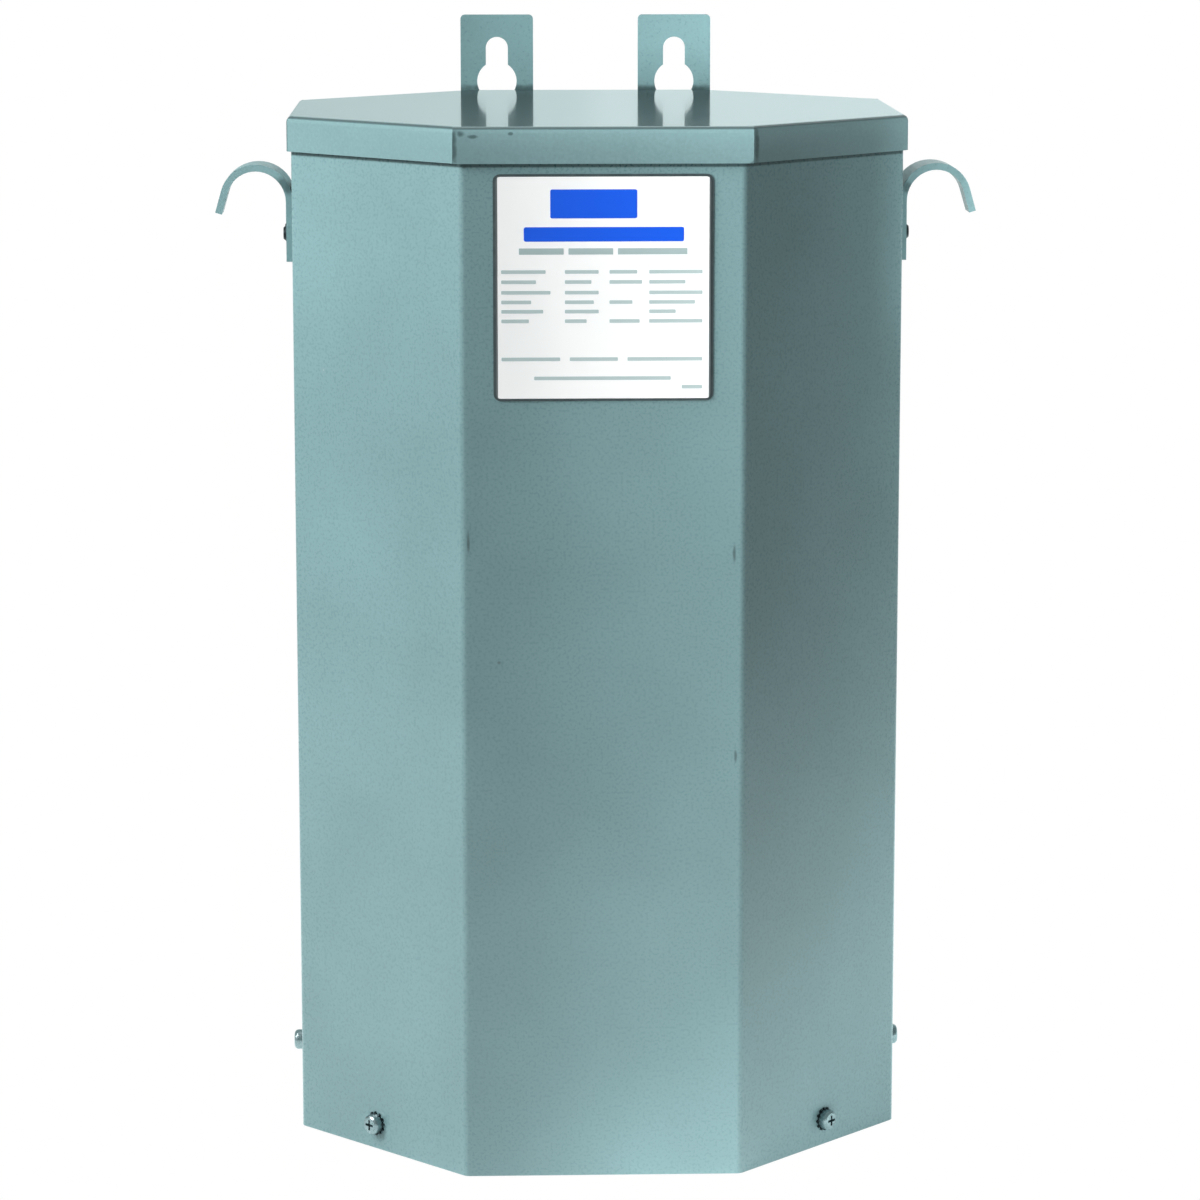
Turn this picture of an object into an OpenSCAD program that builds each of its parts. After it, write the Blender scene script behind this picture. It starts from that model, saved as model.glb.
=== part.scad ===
// Wall-hung isolation transformer in an eight-sided sheet steel case.
// Millimetres, +Z up, +X to the right, the front faces -Y. The origin is the
// middle of the case outline, on the plane that the case stands on.

/* [Case] */
// Width of the case across its side faces
case_w = 264; // [250:1:300]
// Depth of the case from its front face to its rear face
case_d = 264; // [250:1:300]
// Height from the lower edge of the case to the top of the lid
case_h = 450; // [420:1:520]
// Length that each front corner takes off the width and the depth
front_corner = 73; // [62:0.5:80]
// Length that each rear corner takes off the width and the depth
rear_corner = 76.5; // [62:0.5:80]
// Thickness of the case sheet
sheet_t = 1.5; // [1.2:0.1:1.8]
// Outside radius of the upright bends
bend_r = 4; // [3:0.1:6]
// Width of the side return of the front shell
return_w = 55; // [50:0.5:58]
// Width of the tongue of the rear shell that lies behind the return
lap_w = 20; // [12:0.5:22]
// Length of the step that sets the tongue back
joggle_run = 4; // [3:0.1:6]
// Gap left between the two shells at the seam
seam_gap = 0.4; // [0.2:0.1:0.8]

/* [Lid] */
// Distance from the case outline to the outer face of the lid flanges
lid_over = 1.8; // [1.8:0.1:2.4]
// Height of the lid flanges
lid_flange_h = 15.2; // [12:0.1:20]
// Outside radius of the lid folds
lid_fold_r = 2.6; // [2:0.1:3.5]
// Length that the front flange runs past each front corner
front_flange_past = 2.4; // [1:0.1:3]
// Width of the open slit at each lid corner
lid_slit = 1.2; // [0.6:0.1:2]
// Side length of the small notch cut at the foot of each front slit
lid_notch = 2.2; // [1:0.1:3]

/* [Wiring compartment] */
// Height of the compartment below the potted core and coil
compartment_h = 100; // [90:1:130]
// Thickness of the board that closes the potted space
barrier_t = 3; // [2:0.5:5]
// Gap between the bottom cover and the case walls
cover_gap = 0.3; // [0.3:0.05:0.6]
// Height of the cover flanges at the front, the rear and the corners
cover_flange_h = 25; // [20:1:30]
// Height of the cover flanges at the two sides
cover_side_h = 42; // [40:1:48]
// Outside radius of the cover folds
cover_fold_r = 2.6; // [2:0.1:3.5]
// Length left open between two cover flanges at each corner
cover_relief = 3; // [2:0.5:6]
// Diameter of the two large conduit knockouts
large_knockout_d = 43.5; // [35:0.5:50]
// Diameter of the two small conduit knockouts
small_knockout_d = 28.5; // [22:0.5:34]
// Distance between the two large knockouts
large_knockout_pitch = 110; // [90:1:120]
// Distance between the two small knockouts
small_knockout_pitch = 76; // [60:1:90]
// Distance of both knockout rows from the middle of the cover
knockout_row_y = 48; // [40:1:60]
// Gap all round a knockout slug
slug_gap = 0.3; // [0.2:0.05:0.4]
// Diameter of the drain holes in the cover
drain_d = 5; // [3:0.5:8]
// Distance between the two drain holes
drain_pitch = 150; // [120:1:180]

/* [Cover screws] */
// Diameter of the screw shank
screw_d = 5; // [4:0.1:5.6]
// Length of the screw shank below its head
screw_len = 11; // [9:0.5:14]
// Diameter of the pan head
screw_head_d = 8.8; // [8:0.1:10]
// Height of the pan head
screw_head_h = 3.6; // [3:0.1:4.5]
// Radius of the edge of the pan head
screw_head_r = 1.8; // [1:0.1:2.4]
// Width of each arm of the cross recess
recess_w = 1.1; // [0.8:0.1:1.6]
// Span of the cross recess
recess_span = 4.6; // [3:0.1:5.5]
// Depth of the cross recess
recess_depth = 1.8; // [1:0.1:2.4]
// Diameter of the toothed lock washer
washer_d = 10.4; // [9.5:0.1:12]
// Thickness of the toothed lock washer
washer_t = 0.9; // [0.6:0.1:1.2]
// Depth of the washer teeth
washer_tooth = 1.2; // [0.6:0.1:1.6]
// Side of the square nuts
nut_side = 8.5; // [8:0.1:10]
// Thickness of the square nuts
nut_t = 3.2; // [2.5:0.1:4]
// Height of the screws on the slanting faces
corner_screw_z = 11.5; // [10:0.5:14]
// Height of the screws on the two sides
side_screw_z = 32; // [28:0.5:33]
// Distance of the side screws from the front bend
side_screw_back = 26; // [20:0.5:30]
// Shift of the front corner screws along the slant, towards the side
corner_screw_shift = 4; // [0:0.5:8]

/* [Mounting straps] */
// Width of each strap
strap_w = 34.5; // [30:0.5:40]
// Thickness of each strap
strap_t = 3; // [2.5:0.1:4]
// Distance from each strap's centre line to the end of the rear face
strap_inset = 13.25; // [8:0.25:20]
// Height that the straps rise above the lid
strap_rise = 35.5; // [30:0.5:45]
// Height of the lower end of the straps
strap_foot_z = 6; // [2:0.5:12]
// Radius of the strap corners
strap_corner_r = 2; // [1:0.1:4]
// Length of the step at each end of a strap
strap_step = 8; // [6:0.5:12]
// Height of the lower offset end of a strap
strap_foot_h = 70; // [65:1:90]
// Height of the keyhole circle above the lid
keyhole_above = 4; // [3:0.1:6]
// Diameter of the keyhole circle
keyhole_d = 18.8; // [17:0.1:22]
// Width of the keyhole slot
keyhole_slot_w = 10.5; // [8:0.1:12]
// Height of the round top of the slot above the keyhole circle's centre
keyhole_slot_top = 21; // [18:0.1:24]
// Diameter of the lower fixing holes
lower_hole_d = 9; // [7:0.1:11]
// Height of the lower fixing holes
lower_hole_z = 48; // [44:0.5:56]

/* [Lifting hooks] */
// Thickness of the hook strip
hook_t = 3; // [2.5:0.1:4]
// Width of the hook strip along its leg
hook_w = 28; // [20:0.5:34]
// Width of the hook strip at its tip
hook_tip_w = 9; // [8:0.5:14]
// Inside radius of the hook arch
hook_r = 13; // [11:0.5:16]
// Length of the hook leg below the arch
hook_leg = 26; // [20:0.5:34]
// Angle between the hook's free end and the upright
hook_splay = 16; // [8:1:24]
// Length of the hook's free end beyond the arch
hook_end = 10; // [6:0.5:14]
// Depth of the hook arch's top below the top of the lid
hook_drop = 22; // [19:0.5:30]
// Distance of the hook's centre line from the front bend
hook_back = 26; // [20:0.5:30]
// Diameter of the hook rivets
rivet_d = 5; // [4:0.1:6]
// Diameter of the rivet heads
rivet_head_d = 7.4; // [6:0.1:9]
// Height of the rivet heads
rivet_head_h = 1.4; // [1:0.1:2]
// Distance between the two rivets of a hook
rivet_pitch = 16; // [12:0.5:18]
// Height of the rivets above the lower end of the leg
rivet_up = 12; // [8:0.5:16]

/* [Nameplate] */
// Width of the nameplate backing
plate_w = 91.5; // [80:0.5:100]
// Height of the nameplate backing
plate_h = 94.5; // [80:0.5:100]
// Height of the top edge of the backing below the top of the lid
plate_drop = 19.5; // [17:0.5:40]
// Width of the dark border round the plate
plate_border = 1.1; // [0.6:0.1:3]
// Thickness of the backing and of the plate
plate_t = 0.4; // [0.3:0.1:0.8]
// Radius of the backing corners
plate_corner_r = 3; // [2:0.1:6]

/* [Core] */
// Distance from each side of the core to the side face of the case
core_side_room = 18; // [12:0.5:24]
// Distance from the lamination stack to the front and the rear face of the case
core_end_room = 72; // [66:0.5:82]
// Diameter of the core bolts
core_bolt_d = 8; // [6:0.5:10]
// Clearance round the core bolts
core_bolt_clear = 0.4; // [0.3:0.1:0.6]
// Thickness of the core clamps
clamp_t = 4; // [3:0.5:5]
// Length of the outer leg of the core clamps
clamp_leg = 12; // [8:0.5:14]
// Length by which the clamps end short of each side of the core
clamp_short = 10; // [8:0.5:14]
// Width across the flats of the core bolt heads and nuts
core_nut_af = 13; // [11:0.5:16]
// Height of the core bolt heads and nuts
core_nut_h = 6.5; // [5:0.5:8]

/* [Coil] */
// Wall of the coil former
former_t = 2; // [1.5:0.1:3]
// Thickness of the primary winding
primary_t = 12; // [8:0.5:13]
// Thickness of the earthed shield foil
shield_t = 0.6; // [0.4:0.1:1]
// Thickness of the secondary winding
secondary_t = 13; // [8:0.5:15]
// Thickness of the outer insulation
wrap_t = 1.5; // [1:0.1:2.5]
// Gap between one coil layer and the next
layer_gap = 0.2; // [0.1:0.05:0.3]
// Gap between the coil and the laminations
coil_gap = 0.5; // [0.3:0.1:1]

/* [Terminals] */
// Diameter of the terminal studs
stud_d = 8; // [6:0.5:8]
// Gap between the core clamps and the leads that pass them
lead_clear = 2.5; // [1:0.5:5]
// Length of the studs below the terminal board
stud_drop = 30; // [26:1:36]
// Length of the studs held in the compound
stud_anchor = 14; // [10:1:20]
// Distance from the outer corners of the terminal boards to the line of the slanting faces
board_side_room = 14.5; // [8:0.5:20]
// Distance from the end studs to the ends of the terminal boards
board_end = 19; // [14:0.5:24]
// Depth of the terminal boards
board_d = 36; // [30:1:40]
// Thickness of the terminal boards
board_t = 8; // [6:0.5:10]
// Corner radius of the terminal boards
board_corner_r = 4; // [2:0.5:8]
// Width across the flats of the stud nuts
stud_nut_af = 13; // [12:0.5:16]
// Height of the stud nuts
stud_nut_h = 6.5; // [5:0.5:8]
// Diameter of the stud washers
stud_washer_d = 16; // [15:0.5:20]
// Thickness of the stud washers
stud_washer_t = 1.6; // [1:0.1:2]
// Diameter of the leads between coil and studs
lead_d = 7; // [5:0.5:8]

/* [Earth lug] */
// Width of the lug
lug_w = 14; // [12:0.5:18]
// Height of the lug
lug_h = 26; // [22:0.5:30]
// Depth of the lug's wire barrel
lug_d = 13; // [12:0.5:16]
// Thickness of the lug's foot
lug_foot_t = 3; // [2:0.5:4]
// Diameter of the wire bore
lug_bore_d = 7; // [5:0.5:8]
// Height of the lug's lower edge
lug_z = 52; // [46:1:60]
// Diameter of the lug screws
lug_screw_d = 5; // [4:0.5:6]
// Diameter of the lug screw heads
lug_head_d = 8.5; // [7:0.5:10]
// Height of the lug screw heads
lug_head_h = 3; // [2:0.5:4]

/* [Insulation] */
// Thickness of the pad between the compound and the lid
pad_t = 12; // [8:1:16]
// Gap between the compound and the case or any piece cast into it
pour_gap = 0.1; // [0.05:0.05:0.2]

/* [Hidden] */

case_paint = "#7d9c9e";
zinc = "#c9cfd1";
dark_zinc = "#3c4446";
plate_white = "#f6fafa";
plate_dark = "#39444a";
compound = "#2f3133";
board_brown = "#6b4a2e";
lamination_steel = "#8d9296";
copper = "#b87333";
foil_copper = "#cc8a4d";
paper_tan = "#c8ad7f";
foam_grey = "#9a9c98";
brass = "#c2a24a";
lead_black = "#26282a";
aluminium = "#c4c8cb";

// Overrun of every cut past the face that it cuts
over = 1;
// Sides that OpenSCAD draws a full circle with
circle_sides = 64;
// Steps of one rounded outline corner
corner_steps = 4;
// Sides of a hexagon
hex_sides = 6;

corner_angle = 45;
mitre = tan(corner_angle / 2);
half_w = case_w / 2;
half_d = case_d / 2;
// The walls end below the curve of the lid folds, and the lid rests on the pad
wall_h = case_h - lid_fold_r;
lid_seat_z = case_h - sheet_t;
front_bend_y = -half_d + front_corner;
rear_bend_y = half_d - rear_corner;
seam_y = front_bend_y + return_w;
// The tongue starts above the side flanges of the bottom cover
lap_foot_z = cover_side_h + joggle_run;

// Outline of the case moved inwards by inset, counter-clockwise from the
// left end of the front face
function case_outline(inset) =
    let (x = half_w - inset,
         y = half_d - inset,
         front_x = half_w - front_corner - mitre * inset,
         rear_x = half_w - rear_corner - mitre * inset,
         front_y = front_bend_y + mitre * inset,
         rear_y = rear_bend_y - mitre * inset)
    [[-front_x, -y], [front_x, -y], [x, front_y], [x, rear_y],
     [rear_x, y], [-rear_x, y], [-x, rear_y], [-x, front_y]];

function unit(v) = v / norm(v);

function turned(v, angle) =
    [v[0] * cos(angle) - v[1] * sin(angle), v[0] * sin(angle) + v[1] * cos(angle)];

// Points of the arc that rounds corner b of the outline a, b, c
function corner_arc(a, b, c, r) =
    let (to_a = unit(a - b),
         to_c = unit(c - b),
         half = acos(to_a * to_c) / 2,
         centre = b + unit(to_a + to_c) * r / sin(half),
         start = b + to_a * r / tan(half) - centre)
    [for (i = [0:corner_steps]) centre + turned(start, (180 - 2 * half) * i / corner_steps)];

// A counter-clockwise outline with every corner rounded
function rounded(points, r) =
    let (n = len(points))
    [for (i = [0:n - 1])
        each corner_arc(points[(i + n - 1) % n], points[i], points[(i + 1) % n], r)];

function backwards(points) = [for (i = [len(points) - 1:-1:0]) points[i]];

function rectangle(w, d) = [[-w / 2, -d / 2], [w / 2, -d / 2], [w / 2, d / 2], [-w / 2, d / 2]];

// Solid of the case outline moved inwards by inset, with its bends
module case_prism(inset, h)
    linear_extrude(h)
        polygon(bend_r > inset + sheet_t / 2
            ? rounded(case_outline(inset), bend_r - inset)
            : case_outline(inset));

module block(x, y, z)
    translate([x[0], y[0], z[0]])
        cube([x[1] - x[0], y[1] - y[0], z[1] - z[0]]);

module both_sides() {
    children();
    mirror([1, 0, 0]) children();
}

module rod(d, h) cylinder(d = d, h = h, $fn = circle_sides);

// Cross-section of a folded sheet edge: a strip that lies in the flat sheet, the
// bend from the fold line outwards, and the leg going down
function fold_section(leg, r) = concat(
    [[-over, 0], [0, 0]],
    [for (i = [1:corner_steps]) turned([0, r], -90 * i / corner_steps) - [0, r]],
    [[r, -leg], [r - sheet_t, -leg]],
    [for (i = [corner_steps:-1:0]) turned([0, r - sheet_t], -90 * i / corner_steps) - [0, r]],
    [[-over, -sheet_t]]);

// Folded edge along side i of an outline, from start past the first corner to
// finish short of the second one. Both are lengths, and either may be negative.
module folded_edge(outline, i, leg, r, start, finish) {
    from = outline[i];
    along = outline[(i + 1) % len(outline)] - from;
    translate([from[0], from[1], 0])
        rotate([0, 0, atan2(along[1], along[0])])
            translate([start, 0, 0])
                rotate([90, 0, 90])
                    mirror([1, 0, 0])
                        linear_extrude(norm(along) - start - finish)
                            polygon(fold_section(leg, r));
}

// The six cover screws: x, y, height, and the direction that their face looks
front_slant_x = half_w - front_corner / 2 + corner_screw_shift * cos(corner_angle);
front_slant_y = -half_d + front_corner / 2 + corner_screw_shift * cos(corner_angle);
rear_slant_x = half_w - rear_corner / 2;
rear_slant_y = half_d - rear_corner / 2;
side_screw_y = front_bend_y + side_screw_back;
screw_spots = [
    [front_slant_x, front_slant_y, corner_screw_z, -corner_angle],
    [-front_slant_x, front_slant_y, corner_screw_z, 180 + corner_angle],
    [half_w, side_screw_y, side_screw_z, 0],
    [-half_w, side_screw_y, side_screw_z, 180],
    [rear_slant_x, rear_slant_y, corner_screw_z, corner_angle],
    [-rear_slant_x, rear_slant_y, corner_screw_z, 180 - corner_angle]];
screw_hole_d = screw_d + cover_gap * 2;

// Puts children on the outer face at each screw, their +Z pointing outwards
module at_screws()
    for (spot = screw_spots)
        translate([spot[0], spot[1], spot[2]])
            rotate([0, 0, spot[3]])
                rotate([0, 90, 0])
                    children();

module screw_holes()
    at_screws()
        translate([0, 0, -sheet_t - over])
            rod(screw_hole_d, sheet_t + 2 * over);

module front_shell()
    color(case_paint)
    difference() {
        case_prism(0, wall_h);
        translate([0, 0, -over]) case_prism(sheet_t, wall_h + 2 * over);
        block([-case_w, case_w], [seam_y, case_d], [-over, case_h]);
        screw_holes();
        hook_rivet_holes();
    }

// Plan of the stepped edge of the rear shell at the right-hand seam
joggle_end_y = seam_y + seam_gap + joggle_run;
function joggle_plan() = [
    [half_w - sheet_t, seam_y - lap_w],
    [half_w - sheet_t, seam_y + seam_gap],
    [half_w, seam_y + seam_gap + sheet_t],
    [half_w, joggle_end_y],
    [half_w - sheet_t, joggle_end_y],
    [half_w - sheet_t, seam_y + seam_gap + sheet_t],
    [half_w - 2 * sheet_t, seam_y + seam_gap],
    [half_w - 2 * sheet_t, seam_y - lap_w]];

module rear_shell()
    color(case_paint)
    difference() {
        union() {
            difference() {
                case_prism(0, wall_h);
                translate([0, 0, -over]) case_prism(sheet_t, wall_h + 2 * over);
                block([-case_w, case_w], [-case_d, joggle_end_y], [-over, case_h]);
            }
            both_sides() {
                translate([0, 0, lap_foot_z])
                    linear_extrude(wall_h - lap_foot_z) polygon(joggle_plan());
                block([half_w - sheet_t, half_w],
                    [seam_y + seam_gap + sheet_t, joggle_end_y], [0, lap_foot_z]);
            }
        }
        screw_holes();
        lower_fixing_holes();
        translate([0, half_d - sheet_t - over, lug_z + lug_screw_up])
            rotate([-90, 0, 0]) rod(lug_screw_d + cover_gap, sheet_t + 2 * over);
    }

// The lid is one sheet with eight folded flanges. The front flange runs past
// both front corners, and the slanting flanges start behind it.
lid_fold_line = lid_fold_r - lid_over;
lid_turn = mitre * lid_fold_r;

module lid() {
    outline = case_outline(lid_fold_line);
    trim = lid_slit / 2 - lid_turn;
    behind = front_flange_past + lid_slit - lid_turn;
    starts = [-front_flange_past - lid_turn, behind, trim, trim, trim, trim, trim, trim];
    finishes = [-front_flange_past - lid_turn, trim, trim, trim, trim, trim, trim, behind];
    color(case_paint)
    difference() {
        translate([0, 0, case_h]) {
            translate([0, 0, -sheet_t])
                linear_extrude(sheet_t) polygon(case_outline(lid_fold_line + over / 2));
            for (i = [0:len(outline) - 1])
                folded_edge(outline, i, lid_flange_h, lid_fold_r, starts[i], finishes[i]);
        }
        both_sides()
            translate([outline[1][0] + lid_turn + front_flange_past, -half_d - lid_over - over,
                       case_h - lid_flange_h])
                rotate([0, corner_angle, 0])
                    cube([lid_notch, sheet_t + 2 * over, lid_notch], center = true);
    }
}

// Bottom cover: a pan with flanges folded up inside the case. Each screw
// passes a slot that is open at the top, so the pan drops off loose screws.
cover_inset = sheet_t + cover_gap;
cover_fold_line = cover_inset + cover_fold_r;

module cover_slot(spot)
    translate([spot[0], spot[1], spot[2]])
        rotate([0, 0, spot[3]]) {
            rotate([0, -90, 0]) rod(screw_hole_d, cover_fold_line + over);
            block([-cover_fold_line - over, 0], [-screw_hole_d / 2, screw_hole_d / 2],
                [0, cover_side_h]);
        }

// The four knockouts: x, y and diameter
knockouts = [
    [-large_knockout_pitch / 2, knockout_row_y, large_knockout_d],
    [large_knockout_pitch / 2, knockout_row_y, large_knockout_d],
    [-small_knockout_pitch / 2, -knockout_row_y, small_knockout_d],
    [small_knockout_pitch / 2, -knockout_row_y, small_knockout_d]];

module bottom_cover() {
    outline = case_outline(cover_fold_line);
    trim = cover_relief - mitre * cover_fold_r;
    legs = [cover_flange_h, cover_flange_h, cover_side_h, cover_flange_h,
            cover_flange_h, cover_flange_h, cover_side_h, cover_flange_h];
    color(case_paint)
    difference() {
        union() {
            linear_extrude(sheet_t) polygon(case_outline(cover_fold_line + over / 2));
            mirror([0, 0, 1])
                for (i = [0:len(outline) - 1])
                    folded_edge(outline, i, legs[i], cover_fold_r, trim, trim);
        }
        for (spot = screw_spots) cover_slot(spot);
        for (k = knockouts)
            translate([k[0], k[1], -over]) rod(k[2], sheet_t + 2 * over);
        for (side = [-1, 1])
            translate([side * drain_pitch / 2, 0, -over]) rod(drain_d, sheet_t + 2 * over);
    }
}

module knockout_slugs()
    color(case_paint)
    for (k = knockouts)
        translate([k[0], k[1], 0]) rod(k[2] - 2 * slug_gap, sheet_t);

// Half section of the pan head, turned round its axis
function pan_section() =
    let (edge = screw_head_d / 2)
    concat([[0, 0], [edge, 0], [edge, screw_head_h - screw_head_r]],
        [for (i = [1:corner_steps])
            [edge - screw_head_r, screw_head_h - screw_head_r]
            + turned([screw_head_r, 0], 90 * i / corner_steps)],
        [[0, screw_head_h]]);

module cover_screws()
    color(zinc)
    at_screws() {
        difference() {
            translate([0, 0, washer_t])
                rotate_extrude($fn = circle_sides) polygon(pan_section());
            for (turn = [0, 90])
                rotate([0, 0, turn])
                    block([-recess_span / 2, recess_span / 2], [-recess_w / 2, recess_w / 2],
                        [washer_t + screw_head_h - recess_depth, washer_t + screw_head_h + over]);
        }
        translate([0, 0, washer_t - screw_len]) rod(screw_d, screw_len);
    }

// Toothed washer: each tooth takes two points of the rim at the full radius
// and two points at the tooth root
tooth_count = 12;
tooth_points = 4;
function tooth_radius(i) = washer_d / 2 - (i % tooth_points < tooth_points / 2 ? 0 : washer_tooth);
module screw_washers() {
    rim_points = tooth_points * tooth_count;
    color(dark_zinc)
    at_screws()
        linear_extrude(washer_t)
            difference() {
                polygon([for (i = [0:rim_points - 1])
                    turned([tooth_radius(i), 0], 360 * i / rim_points)]);
                circle(d = screw_d, $fn = circle_sides);
            }
}

// Square nuts behind the cover flanges
nut_depth = cover_inset + sheet_t + cover_gap;
module cover_nuts()
    color(zinc)
    at_screws()
        translate([0, 0, -nut_depth - nut_t])
            difference() {
                translate([-nut_side / 2, -nut_side / 2, 0]) cube([nut_side, nut_side, nut_t]);
                translate([0, 0, -over]) rod(screw_d, nut_t + 2 * over);
            }

// Mounting straps: they lie on the rear wall and step back at both ends, at
// the top to pass the lid flange and at the foot to stand in the same plane
strap_pitch = 2 * (half_w - rear_corner - strap_inset);
strap_top_z = case_h + strap_rise;
strap_back = lid_over + cover_gap;
upper_step_z = case_h - lid_flange_h - strap_step - strap_t;
keyhole_z = case_h + keyhole_above;

function strap_line(y) = [
    [y + strap_back, strap_foot_z],
    [y + strap_back, strap_foot_h],
    [y, strap_foot_h + strap_step],
    [y, upper_step_z],
    [y + strap_back, upper_step_z + strap_step],
    [y + strap_back, strap_top_z]];

module strap_face(w)
    translate([0, case_d, (strap_top_z + strap_foot_z) / 2])
        rotate([90, 0, 0])
            linear_extrude(case_d)
                polygon(rounded(rectangle(w, strap_top_z - strap_foot_z), strap_corner_r));

module lower_fixing_holes()
    for (side = [-1, 1])
        translate([side * strap_pitch / 2, half_d - sheet_t - over, lower_hole_z])
            rotate([-90, 0, 0])
                rod(lower_hole_d, sheet_t + strap_back + strap_t + 2 * over);

module mounting_strap(side)
    color(case_paint)
    difference() {
        translate([side * strap_pitch / 2, 0, 0])
            intersection() {
                translate([-strap_w / 2, 0, 0])
                    rotate([90, 0, 90])
                        linear_extrude(strap_w)
                            polygon(concat(strap_line(half_d),
                                backwards(strap_line(half_d + strap_t))));
                strap_face(strap_w);
            }
        translate([side * strap_pitch / 2, half_d, keyhole_z])
            rotate([-90, 0, 0]) {
                rod(keyhole_d, strap_back + strap_t + over);
                translate([0, keyhole_slot_w / 2 - keyhole_slot_top, 0])
                    rod(keyhole_slot_w, strap_back + strap_t + over);
                block([-keyhole_slot_w / 2, keyhole_slot_w / 2],
                    [keyhole_slot_w / 2 - keyhole_slot_top, 0], [0, strap_back + strap_t + over]);
            }
        lower_fixing_holes();
    }

module left_mounting_strap() mounting_strap(-1);
module right_mounting_strap() mounting_strap(1);

// Lifting hook at the right-hand side, in the plane of X and Z. The arch
// springs from the leg, turns past the horizontal and ends in a straight tip.
hook_y = front_bend_y + hook_back;
arch_turn = 180 - hook_splay;
arch_z = case_h - hook_drop - hook_t - hook_r;
arch_x = half_w + hook_t + hook_r;
arch_steps = 20;

function arch_arc(r) = [for (i = [0:arch_steps])
    [arch_x, arch_z] + turned([-r, 0], -arch_turn * i / arch_steps)];

function hook_tip_shift() = turned([0, -hook_end], hook_splay);

function hook_section() =
    let (outer = arch_arc(hook_r + hook_t), inner = arch_arc(hook_r))
    concat([[half_w, arch_z - hook_leg]], outer,
        [outer[arch_steps] + hook_tip_shift(), inner[arch_steps] + hook_tip_shift()],
        backwards(inner),
        [[half_w + hook_t, arch_z - hook_leg]]);

hook_reach = arch_x + hook_r + hook_t + hook_end;

// Plan of the strip: full width at the leg, narrowing towards the tip
function hook_plan() = [
    [half_w, -hook_w / 2], [half_w + hook_t, -hook_w / 2],
    [hook_reach, -hook_tip_w / 2], [hook_reach, hook_tip_w / 2],
    [half_w + hook_t, hook_w / 2], [half_w, hook_w / 2]];

module hook_rivet_spots()
    for (side = [-1, 1])
        translate([half_w, hook_y + side * rivet_pitch / 2, arch_z - hook_leg + rivet_up])
            rotate([0, 90, 0])
                children();

module hook_rivet_holes()
    both_sides() hook_rivet_spots()
        translate([0, 0, -sheet_t - over]) rod(rivet_d, sheet_t + hook_t + 2 * over);

module lifting_hook()
    color(case_paint)
    difference() {
        intersection() {
            translate([0, hook_y + hook_w / 2, 0])
                rotate([90, 0, 0])
                    linear_extrude(hook_w) polygon(hook_section());
            translate([0, hook_y, 0]) linear_extrude(case_h) polygon(hook_plan());
        }
        hook_rivet_holes();
    }

module right_lifting_hook() lifting_hook();
module left_lifting_hook() mirror([1, 0, 0]) lifting_hook();

// Each rivet has a low head on the hook and ends flush with the wall inside
module hook_rivets()
    color(dark_zinc)
    both_sides() hook_rivet_spots() {
        translate([0, 0, -sheet_t]) rod(rivet_d, sheet_t + hook_t);
        translate([0, 0, hook_t])
            cylinder(d1 = rivet_head_d, d2 = rivet_d, h = rivet_head_h, $fn = circle_sides);
    }

plate_top_z = case_h - plate_drop;

module plate_sheet(w, h, y, r)
    translate([0, y, plate_top_z - plate_h / 2])
        rotate([90, 0, 0])
            linear_extrude(plate_t) polygon(rounded(rectangle(w, h), r));

module nameplate_backing()
    color(plate_dark)
    plate_sheet(plate_w, plate_h, -half_d, plate_corner_r);

module nameplate()
    color(plate_white)
    plate_sheet(plate_w - 2 * plate_border, plate_h - 2 * plate_border,
        -half_d - plate_t, plate_corner_r - plate_border);

// The compound fills the case above the barrier board, round core and coil
potting_z = compartment_h + barrier_t;
pad_z = lid_seat_z - pad_t;
pour_inset = sheet_t + pour_gap;
leg_share = 0.5;
window_share = 1.5;
core_w = case_w - 2 * core_side_room;
stack_d = case_d - 2 * core_end_room;
tongue_w = core_w / (1 + 4 * leg_share);
yoke_h = tongue_w * leg_share;
window_w = tongue_w * leg_share;
window_h = tongue_w * window_share;
core_h = window_h + 2 * yoke_h;
core_z = (potting_z + pad_z - core_h) / 2;
bolt_x = core_w / 2 - yoke_h / 2;
bolt_zs = [core_z + yoke_h / 2, core_z + core_h - yoke_h / 2];
bolt_y = stack_d / 2 + clamp_t;

// Room for the tongue of the rear shell beside the inner pieces
module lap_room(z, h)
    both_sides()
        block([half_w - 2 * sheet_t - pour_gap, half_w],
            [seam_y - lap_w - pour_gap, joggle_end_y + pour_gap], [z - over, z + h + over]);

module inner_prism(z, h)
    difference() {
        translate([0, 0, z]) case_prism(pour_inset, h);
        lap_room(z, h);
    }

module top_pad()
    color(foam_grey) inner_prism(pad_z, pad_t);

module stud_room(z, h)
    for (row = [-1, 1])
        at_studs(row) translate([0, 0, z]) rod(stud_d + 2 * pour_gap, h);

module barrier_board()
    color(board_brown)
    difference() {
        inner_prism(compartment_h, barrier_t);
        stud_room(compartment_h - over, barrier_t + 2 * over);
    }

// One core bolt along Y with its head at the front, made larger by grow
module core_bolt(grow) {
    translate([0, bolt_y + core_nut_h + grow, 0])
        rotate([90, 0, 0]) rod(core_bolt_d + 2 * grow, 2 * (bolt_y + grow) + core_nut_h);
    translate([0, -bolt_y, 0])
        rotate([90, 0, 0])
            cylinder(d = (core_nut_af + 2 * grow) / cos(180 / hex_sides),
                h = core_nut_h + grow, $fn = hex_sides);
}

module core_nut(grow)
    translate([0, bolt_y + core_nut_h + grow, 0])
        rotate([90, 0, 0])
            cylinder(d = (core_nut_af + 2 * grow) / cos(180 / hex_sides),
                h = core_nut_h + grow, $fn = hex_sides);

module at_core_bolts()
    for (side = [-1, 1], z = bolt_zs)
        translate([side * bolt_x, 0, z]) children();

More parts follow.
